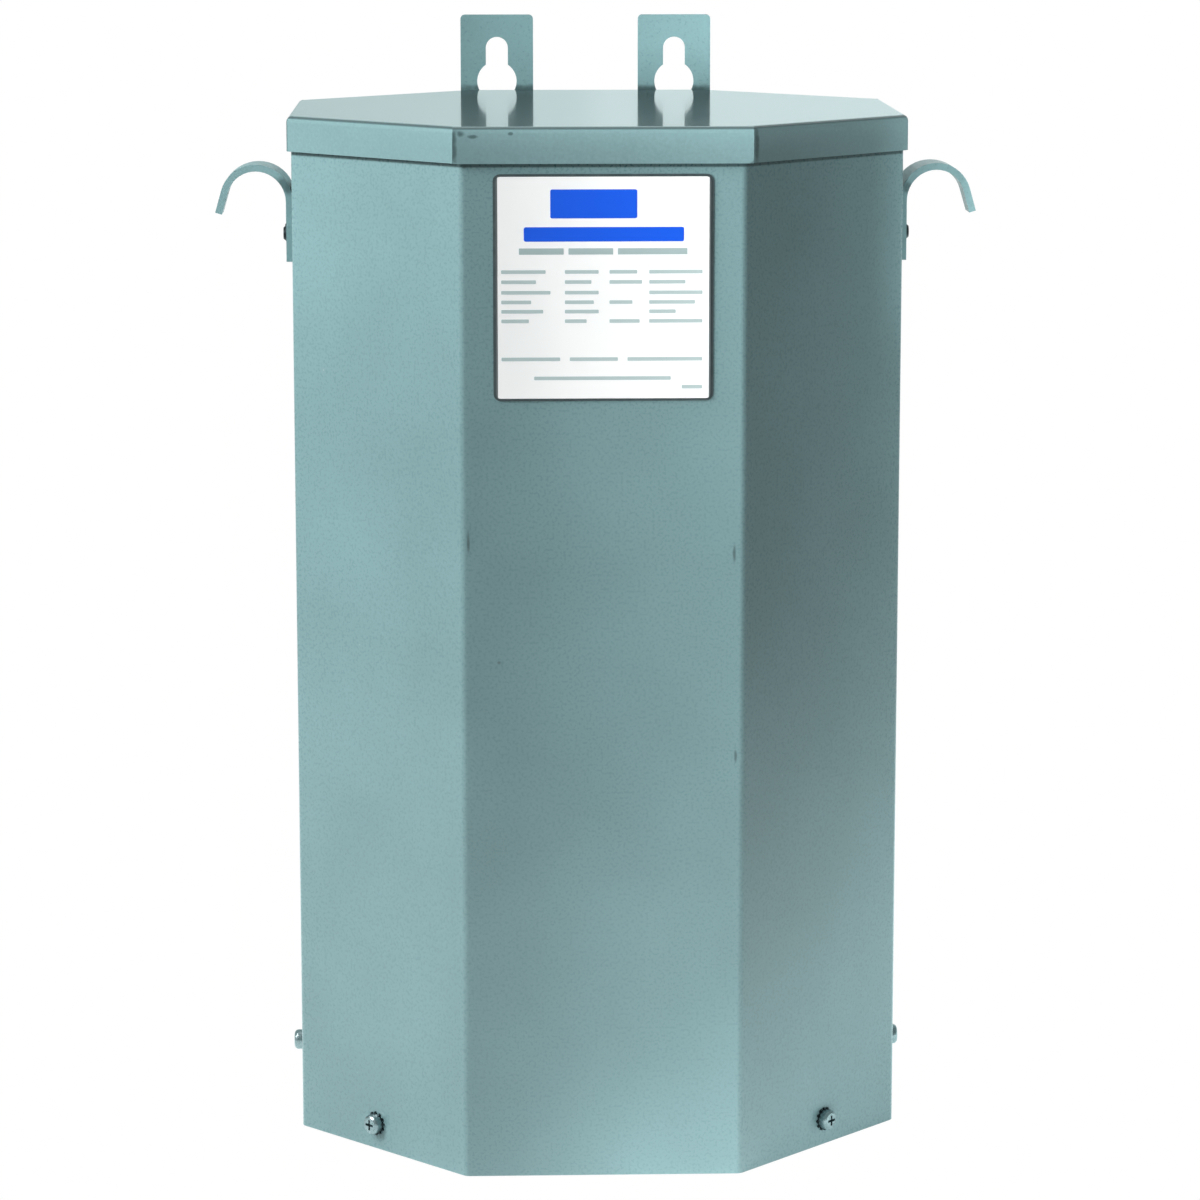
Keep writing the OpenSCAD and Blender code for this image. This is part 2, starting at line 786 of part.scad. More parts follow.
module bolt_holes()
    at_core_bolts()
        translate([0, stack_d, 0])
            rotate([90, 0, 0]) rod(core_bolt_d + 2 * core_bolt_clear, 2 * stack_d);

module e_laminations()
    color(lamination_steel)
    difference() {
        block([-core_w / 2, core_w / 2], [-stack_d / 2, stack_d / 2],
            [core_z, core_z + core_h - yoke_h]);
        for (side = [-1, 1])
            translate([side * (tongue_w + window_w) / 2, 0, 0])
                block([-window_w / 2, window_w / 2], [-stack_d, stack_d],
                    [core_z + yoke_h, core_z + core_h]);
        bolt_holes();
    }

module i_laminations()
    color(lamination_steel)
    difference() {
        block([-core_w / 2, core_w / 2], [-stack_d / 2, stack_d / 2],
            [core_z + core_h - yoke_h, core_z + core_h]);
        bolt_holes();
    }

// One clamp angle at the front face of a yoke, its outer leg at the foot
module clamp_angle(grow) {
    end_x = core_w / 2 - clamp_short + grow;
    translate([0, -stack_d / 2, 0]) {
        block([-end_x, end_x], [-clamp_t - grow, 0], [-grow, yoke_h + grow]);
        block([-end_x, end_x], [-clamp_t - clamp_leg - grow, 0], [-grow, clamp_t + grow]);
    }
}

module at_clamps()
    for (turn = [0, 180])
        rotate([0, 0, turn]) {
            translate([0, 0, core_z]) children();
            translate([0, 0, core_z + core_h]) mirror([0, 0, 1]) children();
        }

module core_clamps()
    color(lamination_steel)
    difference() {
        at_clamps() clamp_angle(0);
        bolt_holes();
    }

module core_bolts()
    color(zinc) at_core_bolts() core_bolt(0);

module core_nuts()
    color(zinc)
    difference() {
        at_core_bolts() core_nut(0);
        at_core_bolts() translate([0, stack_d, 0]) rotate([90, 0, 0]) rod(core_bolt_d, stack_d);
    }

// Coil layers: each is a rounded rectangular tube round the centre leg,
// measured by its distance from that leg
coil_z = core_z + yoke_h + coil_gap;
coil_h = window_h - 2 * coil_gap;
primary_in = coil_gap + former_t + layer_gap;
shield_in = primary_in + primary_t + layer_gap;
secondary_in = shield_in + shield_t + layer_gap;
wrap_in = secondary_in + secondary_t + layer_gap;
coil_out = wrap_in + wrap_t;
winding_z = coil_z + former_t + layer_gap;
winding_h = coil_h - 2 * (former_t + layer_gap);

module coil_shape(distance, h)
    linear_extrude(h)
        polygon(rounded(rectangle(tongue_w + 2 * distance, stack_d + 2 * distance), distance));

module coil_layer(inner, thickness, z, h)
    translate([0, 0, z])
        difference() {
            coil_shape(inner + thickness, h);
            translate([0, 0, -over]) coil_shape(inner, h + 2 * over);
        }

module coil_former()
    color(paper_tan) {
        coil_layer(coil_gap, former_t, coil_z, coil_h);
        coil_layer(coil_gap, coil_out - coil_gap, coil_z, former_t);
        coil_layer(coil_gap, coil_out - coil_gap, coil_z + coil_h - former_t, former_t);
    }

module primary_winding()
    color(copper) coil_layer(primary_in, primary_t, winding_z, winding_h);

module shield_foil()
    color(foil_copper) coil_layer(shield_in, shield_t, winding_z, winding_h);

module secondary_winding()
    color(copper) coil_layer(secondary_in, secondary_t, winding_z, winding_h);

module outer_insulation()
    color(paper_tan) coil_layer(wrap_in, wrap_t, winding_z, winding_h);

// Four studs in each row; the front row serves the primary side
stud_numbers = [-1.5, -0.5, 0.5, 1.5];
stud_row_y = bolt_y + clamp_leg + lead_clear + lead_d / 2;
stud_top_z = potting_z + stud_anchor;
board_z = compartment_h - board_t;
board_w = 2 * (half_w + half_d - rear_corner - stud_row_y - board_d / 2 - board_side_room);
stud_pitch = (board_w - 2 * board_end) / (len(stud_numbers) - 1);

module at_studs(row)
    for (n = stud_numbers)
        translate([n * stud_pitch, row * stud_row_y, 0]) children();

module leads(row, grow)
    at_studs(row)
        translate([0, 0, stud_top_z]) rod(lead_d + 2 * grow, coil_z - stud_top_z);

module primary_leads() color(lead_black) leads(-1, 0);
module secondary_leads() color(lead_black) leads(1, 0);

module terminal_board(row)
    color(board_brown)
    difference() {
        translate([0, row * stud_row_y, board_z])
            linear_extrude(board_t)
                polygon(rounded(rectangle(board_w, board_d), board_corner_r));
        at_studs(row)
            translate([0, 0, board_z - over]) rod(stud_d + 2 * pour_gap, board_t + 2 * over);
    }

module primary_terminal_board() terminal_board(-1);
module secondary_terminal_board() terminal_board(1);

module terminal_studs()
    color(brass)
    for (row = [-1, 1])
        at_studs(row)
            translate([0, 0, board_z - stud_drop]) rod(stud_d, stud_top_z - board_z + stud_drop);

// Two nuts and two washers under the board on each stud
module stud_ring(z, h, d, sides)
    for (row = [-1, 1])
        at_studs(row)
            translate([0, 0, z])
                difference() {
                    cylinder(d = d, h = h, $fn = sides);
                    translate([0, 0, -over]) rod(stud_d, h + 2 * over);
                }

first_nut_z = board_z - stud_washer_t - stud_nut_h;
second_nut_z = first_nut_z - stud_washer_t - stud_nut_h;

module stud_nuts()
    color(brass)
    for (z = [first_nut_z, second_nut_z])
        stud_ring(z, stud_nut_h, stud_nut_af / cos(180 / hex_sides), hex_sides);

module stud_washers()
    color(brass)
    for (z = [board_z - stud_washer_t, first_nut_z - stud_washer_t])
        stud_ring(z, stud_washer_t, stud_washer_d, circle_sides);

module potting_compound()
    color(compound)
    difference() {
        inner_prism(potting_z, pad_z - potting_z);
        block([-core_w / 2 - pour_gap, core_w / 2 + pour_gap],
            [-stack_d / 2 - pour_gap, stack_d / 2 + pour_gap],
            [core_z - pour_gap, core_z + core_h + pour_gap]);
        translate([0, 0, coil_z - pour_gap]) coil_shape(coil_out + pour_gap, coil_h + 2 * pour_gap);
        at_clamps() clamp_angle(pour_gap);
        at_core_bolts() {
            core_bolt(pour_gap);
            core_nut(pour_gap);
        }
        stud_room(potting_z - over, stud_anchor + over + pour_gap);
        for (row = [-1, 1]) leads(row, pour_gap);
    }

// Earth lug on the inside of the rear wall, with its foot above the barrel
lug_screw_up = lug_h - lug_w / 2;
lug_wall_y = half_d - sheet_t;
lug_bore_in = (lug_d - lug_foot_t) / 2;

module earth_lug()
    color(aluminium)
    difference() {
        union() {
            block([-lug_w / 2, lug_w / 2], [lug_wall_y - lug_foot_t, lug_wall_y],
                [lug_z, lug_z + lug_h]);
            block([-lug_w / 2, lug_w / 2], [lug_wall_y - lug_d, lug_wall_y],
                [lug_z, lug_z + lug_h - lug_w]);
        }
        translate([0, lug_wall_y - lug_d + lug_bore_in, lug_z - over])
            rod(lug_bore_d, lug_h - lug_w + 2 * over);
        translate([0, lug_wall_y - lug_d - over, lug_z + (lug_h - lug_w) / 2])
            rotate([-90, 0, 0]) rod(lug_screw_d, lug_bore_in + over);
        translate([0, lug_wall_y - lug_d - over, lug_z + lug_screw_up])
            rotate([-90, 0, 0]) rod(lug_screw_d + cover_gap, lug_d + 2 * over);
    }

module earth_screws()
    color(zinc) {
        translate([0, half_d, lug_z + lug_screw_up])
            rotate([90, 0, 0]) rod(lug_screw_d, sheet_t + lug_foot_t);
        translate([0, lug_wall_y - lug_foot_t, lug_z + lug_screw_up])
            rotate([90, 0, 0]) rod(lug_head_d, lug_head_h);
        translate([0, lug_wall_y - lug_d - lug_head_h, lug_z + (lug_h - lug_w) / 2])
            rotate([-90, 0, 0]) rod(lug_screw_d, lug_head_h + lug_bore_in - lug_bore_d / 2);
    }

front_shell();
rear_shell();
lid();
bottom_cover();
knockout_slugs();
cover_screws();
screw_washers();
cover_nuts();
left_mounting_strap();
right_mounting_strap();
left_lifting_hook();
right_lifting_hook();
hook_rivets();
nameplate_backing();
nameplate();
top_pad();
potting_compound();
barrier_board();
e_laminations();
i_laminations();
core_clamps();
core_bolts();
core_nuts();
coil_former();
primary_winding();
shield_foil();
secondary_winding();
outer_insulation();
primary_leads();
secondary_leads();
primary_terminal_board();
secondary_terminal_board();
terminal_studs();
stud_nuts();
stud_washers();
earth_lug();
earth_screws();
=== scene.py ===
"""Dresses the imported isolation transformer: finishes, printed plate, weld beads and studio."""
import math

import bpy
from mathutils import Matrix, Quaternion, Vector


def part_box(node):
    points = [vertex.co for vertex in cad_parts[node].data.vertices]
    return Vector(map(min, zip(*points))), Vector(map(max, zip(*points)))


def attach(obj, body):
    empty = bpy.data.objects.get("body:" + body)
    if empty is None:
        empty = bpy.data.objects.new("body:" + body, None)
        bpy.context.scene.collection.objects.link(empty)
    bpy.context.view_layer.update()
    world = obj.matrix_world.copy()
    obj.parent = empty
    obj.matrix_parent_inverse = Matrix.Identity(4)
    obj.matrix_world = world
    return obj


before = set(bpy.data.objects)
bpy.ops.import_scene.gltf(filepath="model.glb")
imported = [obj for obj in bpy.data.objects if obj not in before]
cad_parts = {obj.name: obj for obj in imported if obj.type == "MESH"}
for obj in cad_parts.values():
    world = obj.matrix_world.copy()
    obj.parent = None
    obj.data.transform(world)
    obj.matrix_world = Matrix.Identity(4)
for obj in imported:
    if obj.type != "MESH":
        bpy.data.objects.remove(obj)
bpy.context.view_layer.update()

bl_info = {
    "name": "Isolation transformer",
    "version": (1, 0, 0),
    "blender": (4, 5, 0),
    "location": "3D View > Sidebar > Transformer",
    "description": "Finishes, printed plate, weld beads and studio of a wall-hung isolation transformer",
    "category": "Object",
}

MM = 0.001

# Settings that many shader nodes share
COLOURS = {"data_type": "RGBA"}
SMOOTH = {"interpolation_type": "SMOOTHSTEP"}


def linear(code):
    """A hex sRGB colour as the linear red, green, blue and alpha that Blender's sockets hold."""
    parts = [int(code[i:i + 2], 16) / 255 for i in (0, 2, 4)]
    return [c / 12.92 if c <= 0.04045 else ((c + 0.055) / 1.055) ** 2.4 for c in parts] + [1.0]


def colour(name, description, code):
    """A colour property that starts from a hex sRGB colour."""
    return bpy.props.FloatVectorProperty(
        name=name, description=description, default=linear(code)[:3], subtype="COLOR", size=3, min=0, max=1
    )


def length(name, description, millimetres):
    """A length property that starts from a size in millimetres."""
    return bpy.props.FloatProperty(
        name=name, description=description, default=millimetres * MM, unit="LENGTH", min=0, precision=5
    )


def turn(name, description, degrees):
    """An angle property that starts from an angle in degrees."""
    return bpy.props.FloatProperty(
        name=name, description=description, default=math.radians(degrees), unit="ROTATION"
    )


def watts(name, description, power):
    """A property that holds the power of a lamp."""
    return bpy.props.FloatProperty(name=name, description=description, default=power, min=0, unit="POWER")


def brightness(name, description, share):
    """A property that holds how bright something is, where 1 is white."""
    return bpy.props.FloatProperty(name=name, description=description, default=share, min=0)


class EnamelSettings(bpy.types.PropertyGroup):
    """The paint on the case, the straps, the hooks and the lid."""

    case_colour: colour("Case", "Grey-green enamel of the case", "76979A")
    lid_colour: colour("Lid", "Grey-green enamel of the lid", "78989B")
    # The worn colour darkens worn paint and scratches, and is also painted shade in the lid's corner slits,
    # under the left slit, at the straps' foot and in the hooks' inner bends
    wear_and_shade_colour: colour("Worn", "Darker paint where a bend has been rubbed", "3A5052")
    # The dust colour is painted shade: the dark line under the lid's edge and the one along the lid's top
    # fold
    painted_shade_colour: colour("Dust", "Dark dust along the folds and under the edges", "324648")
    primer_colour: colour("Primer", "Pale primer that shows in small chips", "C9D6D4")
    peel: length("Orange peel", "Width of one wave of the sprayed surface", 2.6)
    grain: length("Grain", "Width of one fleck of the paint's fine mottle", 1.2)
    # Height of the painted shade line along the lid's fold, and 1.4 times that for the painted shadow under
    # the lid's edge
    painted_shade_line: length("Fold line", "Height of the thin dark line along a fold or under an edge", 1.1)
    cloud: length("Clouding", "Width of the soft cloudy patches", 70)


class PlateSettings(bpy.types.PropertyGroup):
    """The nameplate's print, which is generic and carries no lettering."""

    heading_colour: colour("Heading", "Blue of the heading block", "0A5BE8")
    rule_colour: colour("Rules", "Grey-green of the bars under the heading", "A9BDBD")
    row_colour: colour("Rows", "Pale grey-green of the rows of bars", "B7C9C9")
    face_colour: colour("Face", "White of the plate", "FBFCFC")
    film_colour: colour("Film", "Dark film behind the plate", "3A4649")
    white_half: length("White half", "From the middle of the plate to the dark border at each side", 43.8)
    ink: length("Ink", "Height of the print above the plate", 0.05)


class WeldSettings(bpy.types.PropertyGroup):
    """The beads that hold the straps to the rear wall."""

    bead: length("Bead", "Length of one bead", 16)
    leg: length("Leg", "Width of one bead's leg", 2)


class StudioSettings(bpy.types.PropertyGroup):
    """The camera and the lamps."""

    lens: bpy.props.FloatProperty(
        name="Lens", description="Focal length in millimetres", default=120.6, min=10, unit="CAMERA"
    )
    distance: length("Distance", "From the camera to the point it looks at", 1817.4)
    azimuth: turn("Azimuth", "Turn of the camera about the vertical", -1.786)
    elevation: turn("Elevation", "Height of the camera as an angle", 9.393)
    roll: turn("Roll", "Turn of the camera about its own axis", -0.01)
    key: watts("Key", "Power of the softbox on the left", 20.6)
    top: watts("Top", "Power of the softbox overhead", 2.5)
    back: watts("Back", "Power of the softbox behind", 14)
    under: watts("Under", "Power of the softbox below the floor", 9)
    front_wash: watts("Front wash", "Power of the lamp that lights the right of the front", 164)
    side_wash: watts("Side wash", "Power of the lamp that lights the right edge", 72)
    strap_wash: watts("Strap wash", "Power of the lamp that lights the straps above the lid", 104)
    hook_wash: watts("Hook wash", "Power of the lamp that lights the right hook", 85)
    table: brightness("Table", "How brightly the table throws light up in front of the case", 1.7)
    sky: brightness("Sky", "Even light from all round", 0.255)
    mirrored: brightness("Mirrored", "How bright the far studio is where a surface mirrors it", 0.5)
    cast: colour("Cast", "Cold tint of what the surfaces mirror", "CBE7E8")


def add(tree, kind, settings=None, *ordered, **named):
    """Adds a shader node with its settings, and sets or links its inputs, by order or by name.

    An input that is given a node takes that node's first output. By order, MapRange takes a
    value, the two values it runs between and the two results.
    """
    node = tree.nodes.new("ShaderNode" + kind)
    for name, value in (settings or {}).items():
        setattr(node, name, value)
    open_inputs = [socket for socket in node.inputs if socket.enabled]
    wanted = list(zip(open_inputs, ordered))
    wanted += [(node.inputs[name.replace("_", " ")], value) for name, value in named.items()]
    for socket, value in wanted:
        if isinstance(value, bpy.types.Node):
            value = next(output for output in value.outputs if output.enabled)
        if isinstance(value, bpy.types.NodeSocket):
            tree.links.new(value, socket)
        else:
            socket.default_value = value
    return node


def new_finish(name):
    """A material with no nodes yet, its tree, and the object coordinates in metres."""
    material = bpy.data.materials.new(name)
    material.use_nodes = True
    tree = material.node_tree
    tree.nodes.clear()
    place = tree.nodes.new("ShaderNodeTexCoord").outputs["Object"]
    return material, tree, place


def spread(tree, place, centre, reach):
    """How far a point lies from a centre, where 1 is the reach along each axis."""
    away = add(tree, "VectorMath", {"operation": "SUBTRACT"}, place, centre)
    away = add(tree, "VectorMath", {"operation": "DIVIDE"}, away, reach)
    return add(tree, "VectorMath", {"operation": "LENGTH"}, away).outputs["Value"]


def off_middle(tree, along, pitch):
    """How far a point lies from the middle of its band, in bands that repeat at a pitch."""
    bands = add(tree, "Math", {"operation": "DIVIDE"}, along, pitch)
    part = add(tree, "Math", {"operation": "FRACT"}, bands)
    middle = add(tree, "Math", {"operation": "SUBTRACT"}, part, 0.5)
    return add(tree, "Math", {"operation": "ABSOLUTE"}, middle)


def dress(material, *names):
    """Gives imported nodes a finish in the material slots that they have."""
    for name in names:
        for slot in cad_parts[name].material_slots:
            slot.material = material


def rgba(value):
    """A property's colour with its alpha."""
    return list(value) + [1.0]


def sprayed_enamel(name, colour_value, paint, roughness, coat, marks=(), lines=(), mirrored=1):
    """Stoving enamel sprayed on steel sheet, such as the case and the lid have.

    The eye sees a smooth film with slight orange peel, a soft mottle, slow clouding, a few
    pale chips, darker marks, some of them worn paint and some painted shade, and dark lines of
    painted shade along a fold or under an edge. A mark is x, y, z, half width and half height
    in metres, and a line is a low and a high height. Mirrored is how bright the paint is where
    another surface mirrors it, which paints shade into its reflection.
    """
    grit_width = 2.4 * MM
    soft_low = 0.3 * MM
    soft_high = 0.2 * MM
    wave_height = 0.02 * MM
    pore_height = 0.001 * MM
    material, tree, place = new_finish(name)
    mottle = add(tree, "TexNoise", None, Vector=place, Scale=1 / paint.grain, Detail=1)
    cloud = add(tree, "TexNoise", None, Vector=place, Scale=1 / paint.cloud, Detail=3)
    peel = add(tree, "TexNoise", None, Vector=place, Scale=1 / paint.peel, Detail=1)
    fleck = add(tree, "MapRange", None, mottle, 0.25, 0.75, 0.945, 1.055)
    patch = add(tree, "MapRange", None, cloud, 0.3, 0.7, 0.93, 1.06)
    shade = add(tree, "Math", {"operation": "MULTIPLY"}, fleck, patch)
    # Painted shade in reflections: where another surface mirrors this paint, its colour is scaled by the
    # mirrored share
    ray = add(tree, "LightPath")
    seen = add(tree, "MapRange", None, ray.outputs["Is Glossy Ray"], 0, 1, 1, mirrored)
    shade = add(tree, "Math", {"operation": "MULTIPLY"}, shade, seen)
    tint = add(tree, "Mix", {"data_type": "RGBA", "blend_type": "MULTIPLY"}, 1.0, rgba(colour_value), shade)
    grit = add(tree, "TexNoise", None, Vector=place, Scale=1 / grit_width, Detail=6)
    chips = add(tree, "MapRange", None, grit, 0.755, 0.8, 0, 0.7)
    tint = add(tree, "Mix", COLOURS, chips, tint, rgba(paint.primer_colour))
    # Each mark darkens the paint towards the worn colour: worn paint on bends and scratches, painted shade
    # in slits, at the straps' foot and in the hooks' bends
    for x, y, z, wide, tall in marks:
        away = spread(tree, place, (x, y, z), (wide, wide, tall))
        near = add(tree, "MapRange", SMOOTH, away, 0, 1, 1, 0)
        broken = add(tree, "Math", {"operation": "ADD"}, near, grit)
        worn_and_shaded = add(tree, "MapRange", None, broken, 0.8, 1.35, 0, 0.8)
        tint = add(tree, "Mix", COLOURS, worn_and_shaded, tint, rgba(paint.wear_and_shade_colour))
    height = add(tree, "SeparateXYZ", None, Vector=place).outputs["Z"]
    # Each line is painted shade: a dark band between two heights, such as under the lid's edge and along
    # its fold
    for low, high in lines:
        above = add(tree, "MapRange", None, height, low - soft_low, low + soft_low, 0, 0.9)
        below = add(tree, "MapRange", None, height, high - soft_high, high, 1, 0)
        dusty = add(tree, "Math", {"operation": "MULTIPLY"}, above, below)
        tint = add(tree, "Mix", COLOURS, dusty, tint, rgba(paint.painted_shade_colour))
    waves = add(tree, "Bump", None, Height=peel, Distance=wave_height, Strength=0.35)
    pores = add(tree, "Bump", None, Height=mottle, Distance=pore_height, Strength=0.2, Normal=waves)
    rough = add(tree, "MapRange", None, mottle, 0.3, 0.7, roughness - 0.03, roughness + 0.05)
    shader = add(tree, "BsdfPrincipled", None, Base_Color=tint, Roughness=rough, IOR=1.5, Normal=pores)
    shader.inputs["Coat Weight"].default_value = coat
    shader.inputs["Coat Roughness"].default_value = 0.06
    add(tree, "OutputMaterial", None, Surface=shader)
    return material


def worked_metal(name, base, dark, rough, lay, depth, squeeze=(1, 1, 1)):
    """A metal with the lay of its working: lines one lay apart, and darker handling marks.

    Squeeze scales the lines along x, y and z, so a small number draws them out.
    """
    mark_width = 6 * MM
    material, tree, place = new_finish(name)
    turned = add(tree, "Mapping", None, Vector=place, Scale=squeeze)
    lines = add(tree, "TexNoise", None, Vector=turned, Scale=1 / lay, Detail=4)
    marks = add(tree, "TexNoise", None, Vector=place, Scale=1 / mark_width, Detail=4)
    handled = add(tree, "MapRange", None, marks, 0.45, 0.75, 0, 0.55)
    tint = add(tree, "Mix", COLOURS, handled, linear(base), linear(dark))
    scored = add(tree, "MapRange", None, lines, 0.3, 0.7, 0, 0.25)
    tint = add(tree, "Mix", COLOURS, scored, tint, linear(dark))
    shine = add(tree, "MapRange", None, lines, 0.3, 0.7, rough - 0.06, rough + 0.08)
    relief = add(tree, "Bump", None, Height=lines, Distance=depth, Strength=0.4)
    shader = add(
        tree, "BsdfPrincipled", None, Base_Color=tint, Metallic=1.0, Roughness=shine, Normal=relief
    )
    add(tree, "OutputMaterial", None, Surface=shader)
    return material


def bright_zinc():
    """Bright zinc plate on pressed steel: cold grey and fairly shiny, with a faint cloudy bloom."""
    return worked_metal("bright_zinc_plate", "A3B1B3", "6E7B7E", rough=0.3, lay=0.5 * MM, depth=0.006 * MM)


def dark_zinc():
    """Dark passivated zinc on stamped spring steel: near black and satin."""
    return worked_metal(
        "dark_passivated_zinc", "3C4347", "22272A", rough=0.38, lay=0.4 * MM, depth=0.006 * MM
    )


def turned_brass():
    """Turned brass: warm yellow, with tool rings drawn 0.5 mm apart because real ones are too fine."""
    return worked_metal(
        "turned_brass", "C9A95A", "8C6F33", rough=0.28, lay=0.5 * MM, depth=0.01 * MM,
        squeeze=(0.25, 0.25, 1.6)
    )


def tin_plate():
    """Tin plate on an aluminium lug: soft white metal with a grey bloom."""
    return worked_metal(
        "tin_plated_aluminium", "CDD0D2", "9CA1A4", rough=0.34, lay=0.8 * MM, depth=0.008 * MM
    )


def mill_scale():
    """Hot rolled steel angle with its mill scale: dark and dull, in long streaks."""
    return worked_metal(
        "mill_scale_steel", "6A6F73", "3E4245", rough=0.5, lay=1.6 * MM, depth=0.03 * MM,
        squeeze=(0.2, 1, 1)
    )


def rolled_copper():
    """Bare rolled copper foil: bright, with rolling lines, and finger marks that have begun to brown."""
    return worked_metal(
        "rolled_copper_foil", "D08A5A", "8A4E2C", rough=0.24, lay=0.7 * MM, depth=0.005 * MM,
        squeeze=(0.2, 0.2, 1.5)
    )


def stacked_laminations():
    """Edges of stacked electrical steel: real sheets are 0.5 mm, drawn 1.5 mm apart to show."""
    pitch = 1.5 * MM
    oxide_width = 9 * MM
    groove = 0.1 * MM
    material, tree, place = new_finish("stacked_electrical_steel")
    depth = add(tree, "SeparateXYZ", None, Vector=place).outputs["Y"]
    middle = off_middle(tree, depth, pitch)
    gap = add(tree, "MapRange", None, middle, 0.36, 0.46, 0, 1)
    oxide = add(tree, "TexNoise", None, Vector=place, Scale=1 / oxide_width, Detail=4)
    bloom = add(tree, "MapRange", None, oxide, 0.3, 0.7, 0, 1)
    tint = add(tree, "Mix", COLOURS, bloom, linear("8A9096"), linear("6D7278"))
    tint = add(tree, "Mix", COLOURS, gap, tint, linear("2E3135"))
    rough = add(tree, "MapRange", None, oxide, 0.3, 0.7, 0.38, 0.5)
    relief = add(tree, "Bump", {"invert": True}, Height=gap, Distance=groove, Strength=0.6)
    shader = add(
        tree, "BsdfPrincipled", None, Base_Color=tint, Metallic=0.9, Roughness=rough, Normal=relief
    )
    add(tree, "OutputMaterial", None, Surface=shader)
    return material


def wound_wire(name, bright, deep, pitch):
    """Enamelled copper wire wound in even turns: rounded bands one wire thick, under varnish, with a
    painted highlight on each crown and painted shade in each groove.
    """
    drift_width = 14 * MM
    groove_share = 0.4
    material, tree, place = new_finish(name)
    height = add(tree, "SeparateXYZ", None, Vector=place).outputs["Z"]
    away = off_middle(tree, height, pitch)
    crown = add(tree, "MapRange", SMOOTH, away, 0.5, 0.0, 0, 1)
    drift = add(tree, "TexNoise", None, Vector=place, Scale=1 / drift_width, Detail=3)
    # Painted highlight and shade: each turn is bright on its crown and dark in the groove between turns
    tint = add(tree, "Mix", COLOURS, crown, linear(deep), linear(bright))
    stain = add(tree, "MapRange", None, drift, 0.35, 0.7, 0, 0.35)
    tint = add(tree, "Mix", COLOURS, stain, tint, linear(deep))
    rough = add(tree, "MapRange", None, drift, 0.3, 0.7, 0.26, 0.36)
    relief = add(tree, "Bump", None, Height=crown, Distance=pitch * groove_share, Strength=0.8)
    shader = add(
        tree, "BsdfPrincipled", None, Base_Color=tint, Metallic=0.85, Roughness=rough, Normal=relief
    )
    shader.inputs["Coat Weight"].default_value = 0.5
    shader.inputs["Coat Roughness"].default_value = 0.15
    add(tree, "OutputMaterial", None, Surface=shader)
    return material


def fibre_board(name, light, dark, rough, fibre, depth, squeeze=(1, 1, 1)):
    """Matted fibres in resin: long flecks on a darker ground, and blotches where resin pooled.

    Squeeze scales the flecks along x, y and z, so a small number draws them out.
    """
    blotch_width = 18 * MM
    material, tree, place = new_finish(name)
    turned = add(tree, "Mapping", None, Vector=place, Scale=squeeze)
    flecks = add(tree, "TexNoise", None, Vector=turned, Scale=1 / fibre, Detail=5)
    blotch = add(tree, "TexNoise", None, Vector=place, Scale=1 / blotch_width, Detail=3)
    matted = add(tree, "MapRange", None, flecks, 0.3, 0.7, 0, 1)
    tint = add(tree, "Mix", COLOURS, matted, linear(dark), linear(light))
    pooled = add(tree, "MapRange", None, blotch, 0.4, 0.75, 0, 0.35)
    tint = add(tree, "Mix", COLOURS, pooled, tint, linear(dark))
    shine = add(tree, "MapRange", None, blotch, 0.3, 0.7, rough + 0.08, rough - 0.06)
    relief = add(tree, "Bump", None, Height=flecks, Distance=depth, Strength=0.5)
    shader = add(tree, "BsdfPrincipled", None, Base_Color=tint, Roughness=shine, Normal=relief)
    add(tree, "OutputMaterial", None, Surface=shader)
    return material


def phenolic_board():
    """Laminated phenolic paper board: brown, smooth and satin, with a fine paper fleck."""
    return fibre_board(
        "phenolic_paper_board", "7A5233", "5A3A22", rough=0.36, fibre=1.2 * MM, depth=0.01 * MM,
        squeeze=(1, 0.3, 1)
    )


def varnished_paper():
    """Kraft paper soaked in varnish: straw brown and fibrous, shinier where the varnish pooled."""
    return fibre_board(
        "varnished_kraft_paper", "CDB183", "A5875A", rough=0.5, fibre=1.5 * MM, depth=0.03 * MM,
        squeeze=(0.4, 0.4, 1.4)
    )


def glass_polyester():
    """Glass-filled polyester sheet: red-brown and matt, with short glass flecks."""
    return fibre_board(
        "glass_polyester_sheet", "8B5B45", "6A3F2E", rough=0.5, fibre=2 * MM, depth=0.02 * MM
    )


def sand_resin():
    """Cast silica sand and resin: dark grey and gritty, with pale grains about 0.8 mm wide."""
    grain_width = 0.8 * MM
    grain_height = 0.25 * MM
    pool_width = 12 * MM
    material, tree, place = new_finish("cast_sand_resin")
    grains = add(tree, "TexVoronoi", None, Vector=place, Scale=1 / grain_width)
    pick = add(tree, "SeparateColor", None, Color=grains.outputs["Color"])
    pale = add(tree, "MapRange", None, pick.outputs["Red"], 0.72, 0.8, 0, 0.55)
    pool = add(tree, "TexNoise", None, Vector=place, Scale=1 / pool_width, Detail=4)
    wet = add(tree, "MapRange", None, pool, 0.35, 0.7, 0, 1)
    tint = add(tree, "Mix", COLOURS, wet, linear("2A2C2E"), linear("3A3D40"))
    tint = add(tree, "Mix", COLOURS, pale, tint, linear("8C8778"))
    rough = add(tree, "MapRange", None, pick.outputs["Green"], 0, 1, 0.45, 0.8)
    relief = add(tree, "Bump", None, Height=grains.outputs["Distance"], Distance=grain_height, Strength=0.6)
    shader = add(tree, "BsdfPrincipled", None, Base_Color=tint, Roughness=rough, Normal=relief)
    add(tree, "OutputMaterial", None, Surface=shader)
    return material


